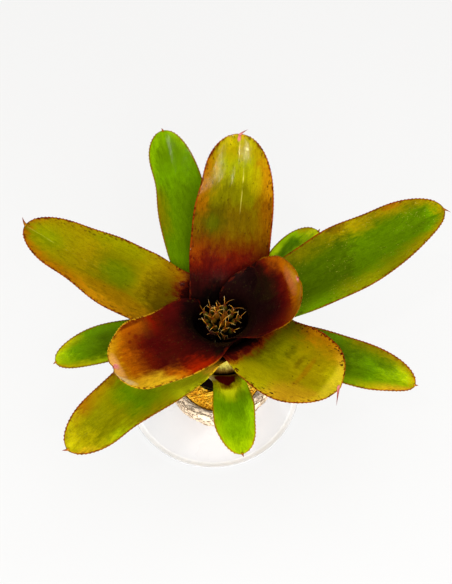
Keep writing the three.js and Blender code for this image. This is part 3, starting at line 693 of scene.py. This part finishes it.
LEAF_LOOKS["leaf_front"] = dict(
    # Its bright colours near the neck, on the middle, both margins and the back are painted light that lifts
    # the shade of the leaves above it.
    middle=[(-0.24, UMBER), (-0.1, BRONZE), (0.0, GOLD), (0.07, YELLOW), (0.15, LEMON_PAINTED_LIGHT), (0.22, CITRON),
            (0.34, GRASS), (0.46, GRASS), (0.6, BRIGHT), (0.74, BRIGHT), (0.86, LIME), (0.94, LIME),
            (1, CITRON)],
    low=[(-0.4, CREAM), (-0.24, IVORY_PAINTED_LIGHT), (-0.1, CREAM), (-0.03, MUSTARD), (0.05, PEAR), (0.18, BRIGHT),
         (0.3, GRASS), (0.45, BRIGHT), (0.6, LIME), (0.8, LIME), (1, CITRON)],
    high=[(-0.2, UMBER), (-0.12, GOLD), (-0.03, SPRING_PAINTED_LIGHT), (0.1, SPRING_PAINTED_LIGHT), (0.19, APPLE_PAINTED_LIGHT), (0.28, BRIGHT),
          (0.42, APPLE_PAINTED_LIGHT), (0.6, APPLE_PAINTED_LIGHT), (0.8, LIME), (1, CITRON)],
    back=[(-0.34, INK), (-0.28, CREAM), (-0.2, IVORY_PAINTED_LIGHT), (0.0, KHAKI), (0.2, GREEN), (1, BRIGHT)],
    marks=(0.05, 0.15, 0.05), edge=AMBER, tip=AMBER, gloss=0.0,
    patches=[(0.26, 0.5, 0.15, 0.28, GRASS, 0.8), (0.28, -0.55, 0.12, 0.25, GRASS, 0.6),
             (0.05, -0.25, 0.06, 0.42, RUST, 0.9), (-0.07, -0.2, 0.09, 0.46, MAROON, 3.0)])

# The same down the backs of the leaves.
FLUSHED_BACK = [(-0.2, SOOT), (0.0, MAROON), (0.3, RUST), (0.7, KHAKI), (1, AMBER)]
GREEN_BACK = [(-0.5, INK), (-0.44, SOOT), (-0.37, UMBER), (-0.3, TAN), (-0.24, STRAW), (-0.12, STRAW),
              (0.0, KHAKI), (0.2, GREEN), (1, BRIGHT)]
LOOK_START, LOOK_SPAN = 0.5, 1.6  # the colours begin this far below the neck and run this far

# Noise over a leaf: length and width of its grains in millimetres, its shift, detail and distortion.
GRAINS = {"cloud": (20, 12, 0, 4, 0.5), "mottle": (7, 4, 3, 4, 0.4), "streak": (40, 1.4, 5, 3, 0),
          "fine": (9, 0.5, 7, 2, 0), "grit": (1.6, 0.8, 9, 2, 0), "where": (24, 14, 11, 2, 0),
          "blotch": (5, 3, 17, 3, 0), "scurf": (9, 2.5, 31, 4, 0), "nicks": (2.6, 40, 43, 1, 0)}

# Marks on a leaf: length and width of the cells they are strewn in, in millimetres, their size as a
# share of a cell, and the share of the cells that hold one.
DASHES = (7.5, 3.0, 0.34, 0.3)
FRECKLES = (7, 3.4, 0.36, 0.55)
SPECKS = (2.6, 1.8, 0.32, 0.35)


class LeafSkin(Finish):
    """Waxy leaf skin: colour runs along the blade and out to its margins, broken up by soft mottling,
    dashes, blotches and pale specks."""

    def __init__(self, leaf):
        self.look = LEAF_LOOKS[leaf["name"]]
        super().__init__(leaf["name"] + "_skin", specular=self.look.get("gloss", 0.15))
        self.shader.inputs["Specular Tint"].default_value = (1.0, 0.95, 0.7, 1)
        self.along, self.side, self.face = self.attribute("place")
        self.run, self.across, self.inset = self.attribute("run")
        self.seed = leaf["order"] * 7.3
        self.cloud = self.grain("cloud")
        self.mottle = self.grain("mottle")
        self.streak = self.grain("streak")
        self.fine = self.grain("fine")
        self.grit = self.grain("grit")
        self.blotch = self.grain("blotch")
        self.shifted = (self.along + (self.cloud - 0.5) * 0.16 + (self.mottle - 0.5) * 0.12
                        + (self.grit - 0.5) * 0.06)
        tone = (self.cloud * 0.15 + self.mottle * 0.3 + self.streak * 0.1 + self.fine * 0.2
                + self.grit * 0.25)
        self.shade = self.ramp(tone, [(0.4, (0.66, 0.66, 0.64, 1)), (0.6, (1.28, 1.28, 1.24, 1))])
        front = self.veined_with_painted_highlight(self.edged(self.marked(self.shaded(self.patched(self.ground())))))
        back = self.back(front, FLUSHED_BACK if leaf["order"] < FLUSHED_LEAVES else GREEN_BACK)
        # Painted light: a glow on the neck's back, for the leaves whose look asks for it.
        if self.look.get("glow"):
            self.glow_painted_through_neck(back)
        skin = self.mix(back, front, self.face.rise(-0.2, 0.2))
        spine = self.mix(self.look["tip"], srgb(140, 50, 36), self.along.rise(1.05, 1.09))
        self.colour(self.mix(skin, spine, self.along.rise(1.0, 1.03)))
        self.rough(0.06 + (1 - self.mottle) * 0.05 + self.along.fall(-0.15, 0.05) * 0.4)
        self.bump(self.fine * 0.5 + self.streak * 0.5 + self.mottle * 0.3 + self.grit * 0.3, 0.3 * MM, 0.3)

    def grain(self, name):
        length, width, shift, detail, distortion = GRAINS[name]
        place = self.vector(self.run / length, self.across / width, self.seed + shift)
        return self.noise(place, detail=detail, distortion=distortion)

    def lengthwise(self, stops):
        """Colours along the blade, their bounds broken up by the mottling."""
        return self.ramp((self.shifted + LOOK_START) / LOOK_SPAN,
                         [((place + LOOK_START) / LOOK_SPAN, colour) for place, colour in stops])

    def ground(self):
        """The colours down the blade's middle and its two margins."""
        sideways = self.side + (self.cloud - 0.5) * 0.4 + (self.mottle - 0.5) * 0.4
        middle, low, high = (self.lengthwise(self.look[part]) for part in ("middle", "low", "high"))
        return self.layered(middle, (low, sideways.fall(-0.95, -0.35)), (high, sideways.rise(0.35, 0.95)))

    def patched(self, skin):
        for along, side, length, width, colour, strength in self.look.get("patches", ()):
            away = ((self.along - along) / length) ** 2 + ((self.side - side) / width) ** 2
            away = away + (self.mottle + self.cloud - 1) * 1.8
            skin = self.mix(skin, colour, away.fall(0.0, 1.8) * strength)
        return skin

    def shaded(self, skin):
        return self.mix(skin, self.shade, 0.8, "MULTIPLY")

    def marked(self, skin):
        """Dashes, freckles near the margins, dried blotches along them and pale specks."""
        dash, blotch, speck = self.look["marks"]
        where = self.grain("where").rise(0.4, 0.6)
        bent = self.vector(self.run + self.blotch * 4, self.across + self.mottle * 3, self.seed)

        def strewn(length, width, size, share):
            return self.dots(bent / (length, width, 1), size, share)

        dashes = strewn(*DASHES) * where * 0.8
        freckles = strewn(*FRECKLES) * self.inset.fall(3.0, 13.0)
        dried = self.blotch.rise(0.52, 0.6) * self.inset.fall(1.0, 5.0) * 0.9
        return self.layered(skin, (WINE, (dashes + freckles).at_most(1) * 0.8 * dash),
                            (DRIED, dried * blotch), (STRAW, strewn(*SPECKS) * where * 0.4 * speck))

    def edged(self, skin):
        """A coloured line along the margins, with small dried nicks in it."""
        rim = (self.inset + (self.blotch - 0.5) * 2.4).fall(0.5, 1.5)
        starts, full = self.look.get("edge_starts", (0.05, 0.3))
        nicks = self.grain("nicks").rise(0.54, 0.6) * self.inset.fall(0.6, 2.4)
        return self.layered(skin, (self.look["edge"], rim * self.along.rise(starts, full) * 0.9),
                            (DRIED, nicks * self.look["marks"][1]))

    def veined_with_painted_highlight(self, skin):
        """A pale vein down the blade's outer half, on the leaves that show one, partly a painted highlight
        along the crease.
        """
        if "vein" not in self.look:
            return skin
        vein_at, strength = self.look["vein"]
        vein_and_highlight_mask = abs(self.across - vein_at + (self.cloud - 0.5) * 1.5).fall(0.1, 0.8)
        vein_and_highlight_mask = vein_and_highlight_mask * self.along.rise(0.3, 0.8) * self.mottle.rise(0.4, 0.65)
        return self.mix(skin, STRAW, vein_and_highlight_mask * strength)

    def back(self, front, stops):
        """A scurfy sheath below, then the back's own colours with a little of the front's."""
        back = self.lengthwise(self.look.get("back", stops))
        scurf = self.grain("scurf").rise(0.46, 0.6) * self.along.fall(-0.3, -0.1)
        back = self.mix(back, UMBER, scurf * self.along.rise(-0.45, -0.3) * 0.6)
        return self.mix(self.shaded(back), front, self.along.rise(-0.1, 0.1) * 0.2)

    def glow_painted_through_neck(self, back):
        """Painted light: an emission glow on the back of the thin neck, standing in for the light that comes
        through it where it lies in shade.
        """
        painted_glow_mask = self.along.rise(-0.36, -0.24) * self.along.fall(-0.12, 0.0) * self.face.fall(-0.2, 0.2)
        self.glow(self.mix((0, 0, 0, 1), back, painted_glow_mask), 0.8)


def make_leaves():
    for order, line in enumerate(LEAF_LINES):
        leaf = dict(zip(LEAF_WORDS, line))
        leaf["order"] = order
        leaf["radius"] = SHEATH["inner_radius"] + SHEATH["radius_step"] * order
        leaf["base_z"] = SHEATH["inner_base"] - SHEATH["base_step"] * order
        make_leaf(leaf, LeafSkin(leaf))


# ---- flower head
def wavering(seed):
    """Seeded random numbers between -1 and 1."""
    while True:
        seed = seed * 16807 % 2147483647
        yield seed / 2147483647 * 2 - 1


def upright_to(direction):
    return Vector((0, 0, 1)).rotation_difference(direction).to_matrix().to_4x4()


def bud_finish():
    """Olive pods, golden in the young middle of the head and purple where they are oldest; near black towards
    the foot, painted shade for the gaps between the pods.
    """
    finish = Finish("bud_skin", roughness=0.4, specular=0.3)
    height, turn, tone = finish.attribute("place")
    grain = finish.noise(finish.vector(turn * 9, height * 2, tone * 40))
    # Near black towards each pod's foot: painted shade for the gaps between the pods.
    skin = finish.ramp(height + (grain - 0.5) * 0.3, [
        (0.0, srgb(8, 6, 3)), (0.35, srgb(14, 13, 3)), (0.6, srgb(62, 60, 8)),
        (0.78, srgb(104, 90, 14)), (0.88, srgb(104, 42, 5)), (1.0, srgb(80, 26, 4))])
    finish.colour(finish.layered(
        skin, (srgb(150, 80, 8), tone.fall(0.15, 0.4) * height.rise(0.3, 0.7) * 0.7),
        (srgb(66, 24, 24), tone.rise(0.6, 0.85) * 0.8)))
    finish.bump(grain, 0.3 * MM, 0.6)
    return finish


def sepal_finish():
    finish = Finish("dry_sepal", roughness=0.3, specular=0.6)
    along, side, tone = finish.attribute("place")
    grain = finish.noise(finish.vector(side * 2, along * 3, tone * 30))
    skin = finish.ramp(along + (grain - 0.5) * 0.3, [
        (0.0, (0.12, 0.012, 0.0005, 1)), (0.3, (0.62, 0.16, 0.003, 1)), (0.7, (1.0, 0.50, 0.04, 1)),
        (1.0, (1.0, 0.80, 0.40, 1))])
    finish.colour(finish.layered(skin, (srgb(96, 40, 16), (tone * 7.3).fraction().rise(0.5, 0.8) * 0.7),
                                 (srgb(136, 70, 62), tone.rise(0.6, 0.85) * 0.8)))
    finish.bump(grain, 0.2 * MM, 0.6)
    return finish


def dome_height(share):
    return HEAD["rim"] + HEAD["dome"] * (1 - share * share)


def grainy(finish, scale, detail, stops, depth, strength):
    grain = finish.noise(finish.position(), scale=scale, detail=detail)
    finish.colour(finish.ramp(grain, stops))
    finish.bump(grain, depth * MM, strength)
    return finish


def make_head_dome():
    rim, radius, foot = HEAD["rim"], HEAD["radius"], STEM_TOP + 0.4
    profile = [(0, foot), (6.5, foot), (7, rim - 14), (radius * 0.85, rim - 5), (radius, rim)]
    profile += [(radius * share, dome_height(share)) for share in (0.8, 0.5, 0)]
    # The dome between the buds is near black: painted shade for the dark gaps between them.
    finish = grainy(Finish("head_heart_painted_shade", roughness=0.9, specular=0.1), 400.0, 4.0,
                    [(0.3, srgb(5, 4, 3)), (0.7, srgb(24, 14, 8))], 1.0, 0.8)
    add_piece("head_dome", spun(rounded(profile), 48, HEAD["centre"]), finish, ["flower_head"])


def make_flowers():
    """Buds in the usual spiral, each with two or three dry sepals."""
    radius, (head_x, head_y) = HEAD["radius"], HEAD["centre"]
    draw = random.Random(9)
    chance = wavering(41)
    buds, sepals = bmesh.new(), bmesh.new()
    bud_place = buds.verts.layers.float_vector.new("place")
    sepal_place = sepals.verts.layers.float_vector.new("place")
    for bud in range(HEAD["buds"]):
        share = math.sqrt((bud + 0.5) / HEAD["buds"])
        heading = bud * GOLDEN + HEAD["waver"] * next(chance)
        tilt = math.radians(HEAD["lean"]) * share + HEAD["tilt_waver"] * next(chance)
        lean = polar(math.sin(tilt), heading, math.cos(tilt))
        root = polar(radius * share, heading, dome_height(share) - 2, HEAD["centre"])
        size = 1 + HEAD["waver"] * next(chance)
        place = Matrix.Translation(root) @ upright_to(lean) @ Matrix.Scale(size, 4)
        # The oldest buds, low on the left, have turned purple.
        oldest = clamp((head_x - root.x + head_y - root.y) / radius - 0.4)
        tone = clamp(0.5 * share + 0.5 * oldest + draw.uniform(-0.05, 0.05))
        add_bud(buds, bud_place, place, tone)
        twist = math.pi * next(chance)
        count = draw.choice((2, 3, 3))
        for k in range(count):
            angle = twist + (k + draw.uniform(-0.2, 0.2)) * 2 * math.pi / count
            splay = math.radians(draw.uniform(18, 78))
            length = BUD["sepal"] * draw.uniform(0.7, 1.3)
            turned = place @ Matrix.Rotation(angle, 4, "Z")
            add_sepal(sepals, sepal_place, turned, splay, length, clamp(tone + draw.uniform(-0.05, 0.05)))
    add_piece("flower_buds", buds, bud_finish(), ["flower_head"])
    add_piece("flower_sepals", sepals, sepal_finish(), ["flower_head"])


def add_bud(body, layer, place, tone):
    """A slim three-sided pod."""
    for vert in unit_ball(body, 12, 12):
        height = (vert.co.z + 1) / 2
        angle = math.atan2(vert.co.y, vert.co.x)
        swell = (1.2 - 0.45 * height ** 2) * (1 + 0.1 * math.cos(3 * angle))
        girth = BUD["radius"] * swell
        vert.co = place @ Vector((vert.co.x * girth, vert.co.y * girth, height * BUD["length"]))
        vert[layer] = Vector((height, angle / math.pi, tone))


def add_sepal(body, layer, place, splay, length, tone):
    """A dry thread-like sepal that curls out from the pod's tip."""
    for vert in unit_ball(body, 5, 8):
        t = (vert.co.z + 1) / 2
        ring = BUD["sepal_girth"] * (1 - t ** 3) / max(math.hypot(vert.co.x, vert.co.y), 0.25)
        bend = splay * (0.3 + 0.7 * t)
        local = Vector((vert.co.x * ring, 0.3 + length * t * math.sin(bend) + vert.co.y * ring,
                        BUD["length"] * BUD["sepal_root"] + length * t * math.cos(bend)))
        vert.co = place @ local
        vert[layer] = Vector((t, vert.co.x, tone))


# ---- stem
def make_stem():
    finish = grainy(Finish("stem_bark", roughness=0.8), 260.0, 5.0,
                    [(0.3, UMBER), (0.55, srgb(120, 110, 66)), (0.75, srgb(166, 160, 110))], 0.8, 1.0)
    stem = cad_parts["stem"]
    stem.data.materials.clear()
    stem.data.materials.append(finish.material)


# ---- nursery pot and its mix
def pot_radius(z):
    return lerp(POT["foot"], POT["radius"] - 1.4, (z - POT["base"]) / (POT["rim"] - POT["lip"] - POT["base"]))


def pot_finish():
    """Black moulded plastic with a haze and fine scratches."""
    finish = Finish("black_plastic", roughness=0.5, specular=0.2)
    place = finish.position()
    haze = finish.noise(place, scale=60.0, detail=4.0)
    stretched = finish.node("Mapping", values={"Vector": place, "Scale": (300, 300, 4000)})
    scratch = finish.noise(stretched, detail=2.0)
    finish.colour(finish.mix(srgb(22, 27, 22), srgb(60, 62, 54), haze.rise(0.5, 0.8) * 0.5))
    finish.rough(0.4 + haze * 0.2)
    finish.bump(scratch + haze * 0.3, 0.1 * MM, 0.4)
    return finish


def make_nursery_pot():
    base, rim, radius, wall = POT["base"], POT["rim"], POT["radius"], POT["wall"]
    lip, floor = rim - POT["lip"], base + 1.5
    profile = [(0, base), (POT["foot"] - 1, base)]
    profile += [(pot_radius(z), z) for z in (base + 1, 30, 50, lip - 0.4)]
    profile += [(radius, lip), (radius, rim - 0.8), (radius - 0.4, rim), (radius - wall, rim - 0.2)]
    profile += [(pot_radius(lip) - wall, lip - 1.5)]
    profile += [(pot_radius(z) - wall, z) for z in (50, 30, floor)]
    body = spun(profile + [(0, floor)], 96, POT["centre"])
    add_piece("nursery_pot_shell", body, pot_finish(), ["nursery_pot"])


def mix_finish():
    finish = Finish("potting_bark", roughness=0.95)
    place = finish.position()
    crumb = finish.cells(place, 500.0)
    grain = finish.noise(place, scale=300.0, detail=5.0)
    finish.colour(finish.ramp(grain, [(0.3, srgb(12, 11, 8)), (0.55, srgb(30, 27, 19)),
                                      (0.75, srgb(56, 46, 30))]))
    finish.bump(crumb + grain, 0.8 * MM)
    return finish


def make_mix():
    draw = random.Random(5)
    base = POT["base"] + 1.9
    inner = [(r, MIX_Z - 1 + 0.4 * math.sin(r)) for r in range(32, 9, -2)]
    wall = [(pot_radius(z) - POT["wall"] - 0.7, z) for z in (base, 30, 48, MIX_Z - 2)]
    body = spun([(0, base)] + wall + inner + [(0, MIX_Z - 2)], 72, POT["centre"])
    for vert in body.verts:
        if vert.co.z > MIX_Z - 2.5:
            vert.co.z += 1.2 * noise.noise(vert.co * 0.25) + 0.7 * noise.noise(vert.co * 0.7)
    for _ in range(CRUMBS["count"]):
        angle, r = draw.uniform(0, 2 * math.pi), draw.uniform(CRUMBS["nearest"], CRUMBS["farthest"])
        spot = polar(r, angle, MIX_Z - draw.uniform(0, CRUMBS["sunk"]), POT["centre"])
        size = draw.uniform(CRUMBS["small"], CRUMBS["large"])
        made = bmesh.ops.create_icosphere(body, subdivisions=1, radius=size)["verts"]
        squash = Matrix.Diagonal((draw.uniform(0.6, 1.6), draw.uniform(0.5, 1), draw.uniform(0.4, 0.8), 1))
        turn = Matrix.Rotation(draw.uniform(0, 6), 4, "Z")
        bmesh.ops.transform(body, matrix=Matrix.Translation(spot) @ turn @ squash, verts=made)
    add_piece("potting_crumbs", body, mix_finish(), ["potting_mix"], smooth=False)


# ---- rough bowl
# Whitewash, bare bark, ochre stain, and a paler tone painted round the mouth: painted light that lifts the
# shade on its inner wall.
BARK_TONES_WITH_PAINTED_LIGHT = [(0.95, 0.76, 0.54, 1), (0.78, 0.55, 0.36, 1), (0.50, 0.27, 0.12, 1), (0.98, 0.80, 0.62, 1)]


def bark_lump(angle, height):
    return (0.9 * math.sin(3 * angle + 0.6) + 0.7 * math.sin(5 * angle + 4 * height)
            + 0.6 * math.sin(11 * angle - 7 * height) + 0.4 * math.sin(19 * angle + 9 * height))


def mouth_wave(angle):
    return BOWL["wave"] * math.sin(4 * angle + 1)


def mouth_radius(angle, z):
    return BOWL["mouth"] + mouth_wave(angle) - 0.08 * (BOWL["rim"] - z)


def bowl_profile():
    base, rim = BOWL["base"], BOWL["rim"]
    wall = [(0.12, 43.5), (0.3, 51.5), (0.5, 57), (0.7, 60), (0.86, 61), (0.95, 60)]
    profile = [(0, base), (BOWL["foot"], base)]
    profile += [(r, lerp(base, rim, share)) for share, r in wall]
    profile += [(58.4, rim - 0.4), (55.5, rim - 0.9), (53, rim + 0.1), (50.2, rim - 1.4), (48.6, rim - 5)]
    return profile + [(46, 24), (BOWL["floor_radius"], BOWL["floor"]), (0, BOWL["floor"])]


def bark_lift(angle, height, z, r):
    """How far the bark stands out: broad lumps, flakes and the splits between them."""
    grain = Vector((math.cos(angle) * 4.2, math.sin(angle) * 4.2, z * 0.30 + r * 0.34))
    split = abs(noise.noise(grain * BOWL["split_scale"]))
    lump = BOWL["lump"] * bark_lump(angle, clamp(height)) * (1 if r > BOWL["wall"] else 0.2)
    flake = BOWL["flake"] * noise.noise(Vector((grain.x * 2.4, grain.y * 2.4, grain.z * 1.6)))
    return lump + flake - BOWL["split_depth"] * (1 - ease(split / BOWL["split_width"]))


def make_bowl():
    base, rim = BOWL["base"], BOWL["rim"]
    body = spun(rounded(bowl_profile(), 5), 300)
    layer = body.verts.layers.float_vector.new("place")
    for vert in body.verts:
        r = math.hypot(vert.co.x, vert.co.y)
        angle = math.atan2(vert.co.y, vert.co.x)
        vert[layer] = Vector((angle * 55, vert.co.z, r))
        if r < BOWL["floor_radius"] or vert.co.z < base + 3:
            continue
        lift = bark_lift(angle, (vert.co.z - base) / (rim - base), vert.co.z, r)
        if vert.co.z > rim - BOWL["lip"] and r < BOWL["radius"]:
            vert.co.z += 0.7 * lift
        elif r > BOWL["wall"]:
            vert.co += polar(1, angle) * lift
        else:
            vert.co += polar(1, angle) * mouth_wave(angle)
    bmesh.ops.translate(body, verts=body.verts, vec=(*BOWL["centre"], 0))
    add_piece("outer_pot_bark", body, bowl_finish(), ["outer_pot"])


def bowl_finish():
    """Whitewashed bark: long dark splits and ochre stains that run round the wall."""
    finish = Finish("whitewashed_bark", roughness=0.9)
    around, height, radius = finish.attribute("place")
    layer = height * 0.9 + radius * 1.0

    def grain(length, depth, shift, detail=4.0, distortion=0.0):
        return finish.noise(finish.vector(around / length, layer / depth, shift), detail=detail,
                            distortion=distortion)

    coarse = grain(9, 2.4, 0, distortion=0.8)
    fine = grain(5, 0.9, 4, distortion=0.5)
    stain = grain(20, 8, 9, detail=3.0)
    chip = grain(3.5, 1.5, 14, detail=3.0, distortion=0.6)
    split = abs(coarse - 0.5).fall(0.0, 0.06)
    whitewash, bare, ochre, mouth = BARK_TONES_WITH_PAINTED_LIGHT
    # The last layer paints the mouth paler, painted light where the leaves shade it.
    finish.colour(finish.layered(
        whitewash, (bare, fine.rise(0.42, 0.72)), (ochre, stain.rise(0.50, 0.75) * 0.6),
        (srgb(110, 70, 42), split * fine.rise(0.36, 0.5)), (srgb(70, 42, 24), chip.rise(0.61, 0.66) * 0.9),
        (mouth, radius.fall(52, 57) * 0.6)))
    finish.bump(fine * 0.6 + coarse * 0.4 - split * 0.5, 1.2 * MM)
    return finish


# ---- coir
def coir_finish(name, dark, golden, pale):
    finish = Finish(name, roughness=0.8, specular=0.1)
    place = finish.position()
    tone = finish.noise(place, scale=150.0, detail=2.0)
    grain = finish.noise(place, scale=1200.0)
    finish.colour(finish.ramp(tone * 0.7 + grain * 0.3, [(0.3, dark), (0.5, golden), (0.7, pale)]))
    finish.bump(grain, 0.3 * MM)
    return finish


def coir_inner(angle, z):
    """Distance from the bowl's axis to just outside the nursery pot, which stands off that axis."""
    offset = Vector((*POT["centre"], 0)) - Vector((*BOWL["centre"], 0))
    along = polar(1, angle).dot(offset)
    return along + math.sqrt(along ** 2 - offset.length_squared + (pot_radius(z) + COIR["gap"]) ** 2)


def make_coir_bed():
    """A ring between the two pots: its top row of points runs outwards, its floor row back."""
    floor, top, segments = BOWL["floor"] + 0.4, COIR["top"], COIR["segments"]
    shares = [i / COIR["rings"] for i in range(COIR["rings"] + 1)]
    rings = 2 * len(shares)
    body = bmesh.new()
    bmesh.ops.create_grid(body, x_segments=rings, y_segments=segments, size=1)
    for vert in body.verts:
        ring = round((vert.co.x + 1) / 2 * rings) % rings
        angle = round((vert.co.y + 1) / 2 * segments) % segments / segments * 2 * math.pi
        if ring < len(shares):
            spot = polar(lerp(coir_inner(angle, top), mouth_radius(angle, top) - 0.8, shares[ring]), angle)
            vert.co = spot
            vert.co.z = top + 1.0 * noise.noise(spot * 0.18) + 0.8 * noise.noise(spot * 0.5) - 1.2
        else:
            share = shares[rings - 1 - ring]
            vert.co = polar(lerp(coir_inner(angle, floor + 2), BOWL["floor_radius"] - 1, share), angle, floor)
    close_up(body, BOWL["centre"])
    bed = coir_finish("coir_bed", (0.36, 0.11, 0.004, 1), (0.74, 0.33, 0.01, 1), (0.92, 0.52, 0.02, 1))
    add_piece("coir_bed", body, bed, ["coir_packing"])


def kept_between(spot):
    """Moves a fibre's point back between the two pots."""
    x, y = BOWL["centre"]
    angle = math.atan2(spot.y - y, spot.x - x)
    low, high = coir_inner(angle, COIR["top"]) + 1, mouth_radius(angle, COIR["top"]) - 1.4
    return polar(clamp(math.hypot(spot.x - x, spot.y - y), low, high), angle, spot.z, BOWL["centre"])


def fibre_curve():
    draw = random.Random(12)
    curve = bpy.data.curves.new("fibres", "CURVE")
    curve.dimensions = "3D"
    curve.bevel_depth = FIBRE["thick"] * MM
    curve.bevel_resolution = 0
    curve.use_fill_caps = True
    top, count, step = COIR["top"], FIBRE["points"], FIBRE["step"]
    for _ in range(FIBRE["count"]):
        angle = draw.uniform(0, 2 * math.pi)
        share = draw.uniform(0.06, 0.94)
        low = coir_inner(angle, top) + FIBRE["inset"]
        high = mouth_radius(angle, top) - 0.8 - FIBRE["inset"]
        spot = polar(lerp(low, high, share), angle, top - 1.0 + draw.uniform(0, 2.2), BOWL["centre"])
        heading = draw.uniform(0, 2 * math.pi)
        curl = draw.uniform(-0.5, 0.5)
        points = curve.splines.new("POLY").points
        points.add(count - 1)
        for k in range(count):
            points[k].co = (*(spot * MM), 1)
            points[k].radius = 1.15 * math.sin(math.pi * (k + 0.6) / (count + 0.2)) ** 0.5
            heading += curl + draw.uniform(-0.7, 0.7)
            spot = kept_between(spot + polar(step, heading, draw.uniform(-0.5, 0.5)))
    return curve


def make_fibres():
    carrier = add_object("fibre_curve", fibre_curve())
    bpy.context.view_layer.update()
    mesh = bpy.data.meshes.new_from_object(carrier.evaluated_get(bpy.context.evaluated_depsgraph_get()))
    bpy.data.objects.remove(carrier)
    fibres = bmesh.new()
    fibres.from_mesh(mesh)
    for vert in fibres.verts:
        vert.co /= MM
    bpy.data.meshes.remove(mesh)
    strands = coir_finish("coir_fibre", (0.62, 0.22, 0.008, 1), (0.92, 0.48, 0.02, 1), (0.98, 0.74, 0.10, 1))
    add_piece("coir_fibres", fibres, strands, ["coir_packing"])


# ---- saucer
# The glaze, a cloudier tone of it, a grey for the lip that is painted shade, and a paler tone for the well's
# slope that is painted light.
GLAZE_TONES_WITH_PAINTED_LIGHT = [(0.70, 0.695, 0.71, 1), (0.685, 0.68, 0.695, 1), (0.54, 0.54, 0.54, 1), (0.97, 0.97, 0.98, 1)]


def saucer_finish():
    """White glaze, painted paler on the well's slope to lift its shade (painted light) and greyer on the lip
    as a painted shade line.
    """
    radius, (centre_x, centre_y) = SAUCER["radius"], SAUCER["centre"]
    finish = Finish("white_glaze", roughness=0.25, coat=0.05)
    place = finish.position()
    cloud = finish.noise(place, scale=25.0)
    pit = finish.noise(place, scale=900.0, detail=2.0)
    x, y = finish.axes(place)[:2]
    reach = ((x - centre_x * MM) ** 2 + (y - centre_y * MM) ** 2) ** 0.5 / MM
    # Painted light: the well's slope, where shade falls, gets the paler tone.
    slope = reach.rise(radius - 8.5, radius - 6) * reach.fall(radius - 1.8, radius - 1.1)
    glaze, cloudy, lip, pale = GLAZE_TONES_WITH_PAINTED_LIGHT
    finish.colour(finish.layered(glaze, (cloudy, cloud.rise(0.4, 0.7)),
                                 (lip, reach.rise(radius - 1.6, radius - 1.0)), (pale, slope)))
    finish.rough(0.2 + cloud * 0.2)
    finish.bump(cloud * 0.6 + pit * 0.1, 0.3 * MM, 0.3)
    return finish


def make_saucer():
    radius, height, foot, well = SAUCER["radius"], SAUCER["height"], SAUCER["foot"], SAUCER["well"]
    curved = [(foot, 0), (foot + 3, 0.9), (radius - 8, 2), (radius - 1, height - 1.6), (radius, height - 0.4),
              (radius - 1, height), (radius - 2, height - 0.4), (radius - 6, well + 0.4), (radius - 9, well)]
    body = spun([(0, 0)] + rounded(curved, 5) + [(0, well)], 256, SAUCER["centre"])
    add_piece("saucer_glazed", body, saucer_finish(), ["saucer"])


# ---- floor, light and camera
FLOOR = {"half": 3, "below": 0.0004, "glow": 0.78}
BACKDROP = 0.65

# Each light's name, place, target, size, power, and whether it shows as a gleam on the leaves.
ROSETTE, WINDOW_TARGET = (0, 0, 0.12), (0, 0.1, 0.25)
LIGHTS = [
    ("soft_front", (0.0, -1.4, 1.0), ROSETTE, 1.3, 29, False),
    ("soft_top", (0.1, 0.3, 1.8), ROSETTE, 1.3, 17, False),
    ("soft_side", (0.5, -1.3, 0.75), ROSETTE, 0.9, 13, False),
    ("window_left", (-0.33, -0.48, 1.59), WINDOW_TARGET, 0.06, 2.4, True),
    ("window_right", (0.40, -0.77, 1.59), WINDOW_TARGET, 0.05, 1.5, True),
]

# The camera looks down from the front; its axis meets the plant at the aim. The focal length and the
# height are in pixels of the picture.
CAMERA = {"aim": (4, 26.8, 171.3), "distance": 700, "down": 60, "focal": 700, "height": 584, "sensor": 36,
          "clip": 0.01}


def make_stage():
    slab = bmesh.new()
    bmesh.ops.create_grid(slab, x_segments=1, y_segments=1, size=FLOOR["half"])
    bmesh.ops.translate(slab, verts=slab.verts, vec=(0, 0, -FLOOR["below"]))
    finish = Finish("pale_floor", roughness=0.9, specular=0.0)
    finish.colour((0.10, 0.10, 0.10, 1))
    finish.glow((1, 0.995, 0.985, 1), FLOOR["glow"])
    floor = add_mesh("floor", slab, finish)


def add_light(name, place, target, size, power, gleam):
    light = bpy.data.lights.new(name, "AREA")
    light.shape = "SQUARE"
    light.size = size
    light.energy = power
    lamp = add_object(name, light)
    lamp.location = place
    aim = Vector(target) - Vector(place)
    lamp.rotation_euler = aim.to_track_quat("-Z", "Y").to_euler()
    lamp.visible_glossy = gleam


def make_light():
    world = bpy.data.worlds.new("soft_white")
    bpy.context.scene.world = world
    world.use_nodes = True
    backdrop = world.node_tree.nodes["Background"]
    backdrop.inputs["Color"].default_value = (1, 1, 1, 1)
    backdrop.inputs["Strength"].default_value = BACKDROP
    world.cycles_visibility.glossy = False
    for light in LIGHTS:
        add_light(*light)


def make_camera():
    data = bpy.data.cameras.new("camera")
    data.sensor_width = CAMERA["sensor"]
    data.lens = CAMERA["sensor"] * CAMERA["focal"] / CAMERA["height"]
    data.clip_start = CAMERA["clip"]
    camera = add_object("camera", data)
    tilt = math.radians(CAMERA["down"])
    back = Vector((0, -math.cos(tilt), math.sin(tilt))) * CAMERA["distance"]
    camera.location = (Vector(CAMERA["aim"]) + back) * MM
    camera.rotation_euler = (-back).to_track_quat("-Z", "Y").to_euler()
    bpy.context.scene.camera = camera


bpy.context.scene.view_settings.view_transform = "Standard"
make_camera()
make_light()
make_stage()
make_leaves()
make_head_dome()
make_flowers()
make_stem()
make_nursery_pot()
make_mix()
make_bowl()
make_coir_bed()
make_fibres()
make_saucer()
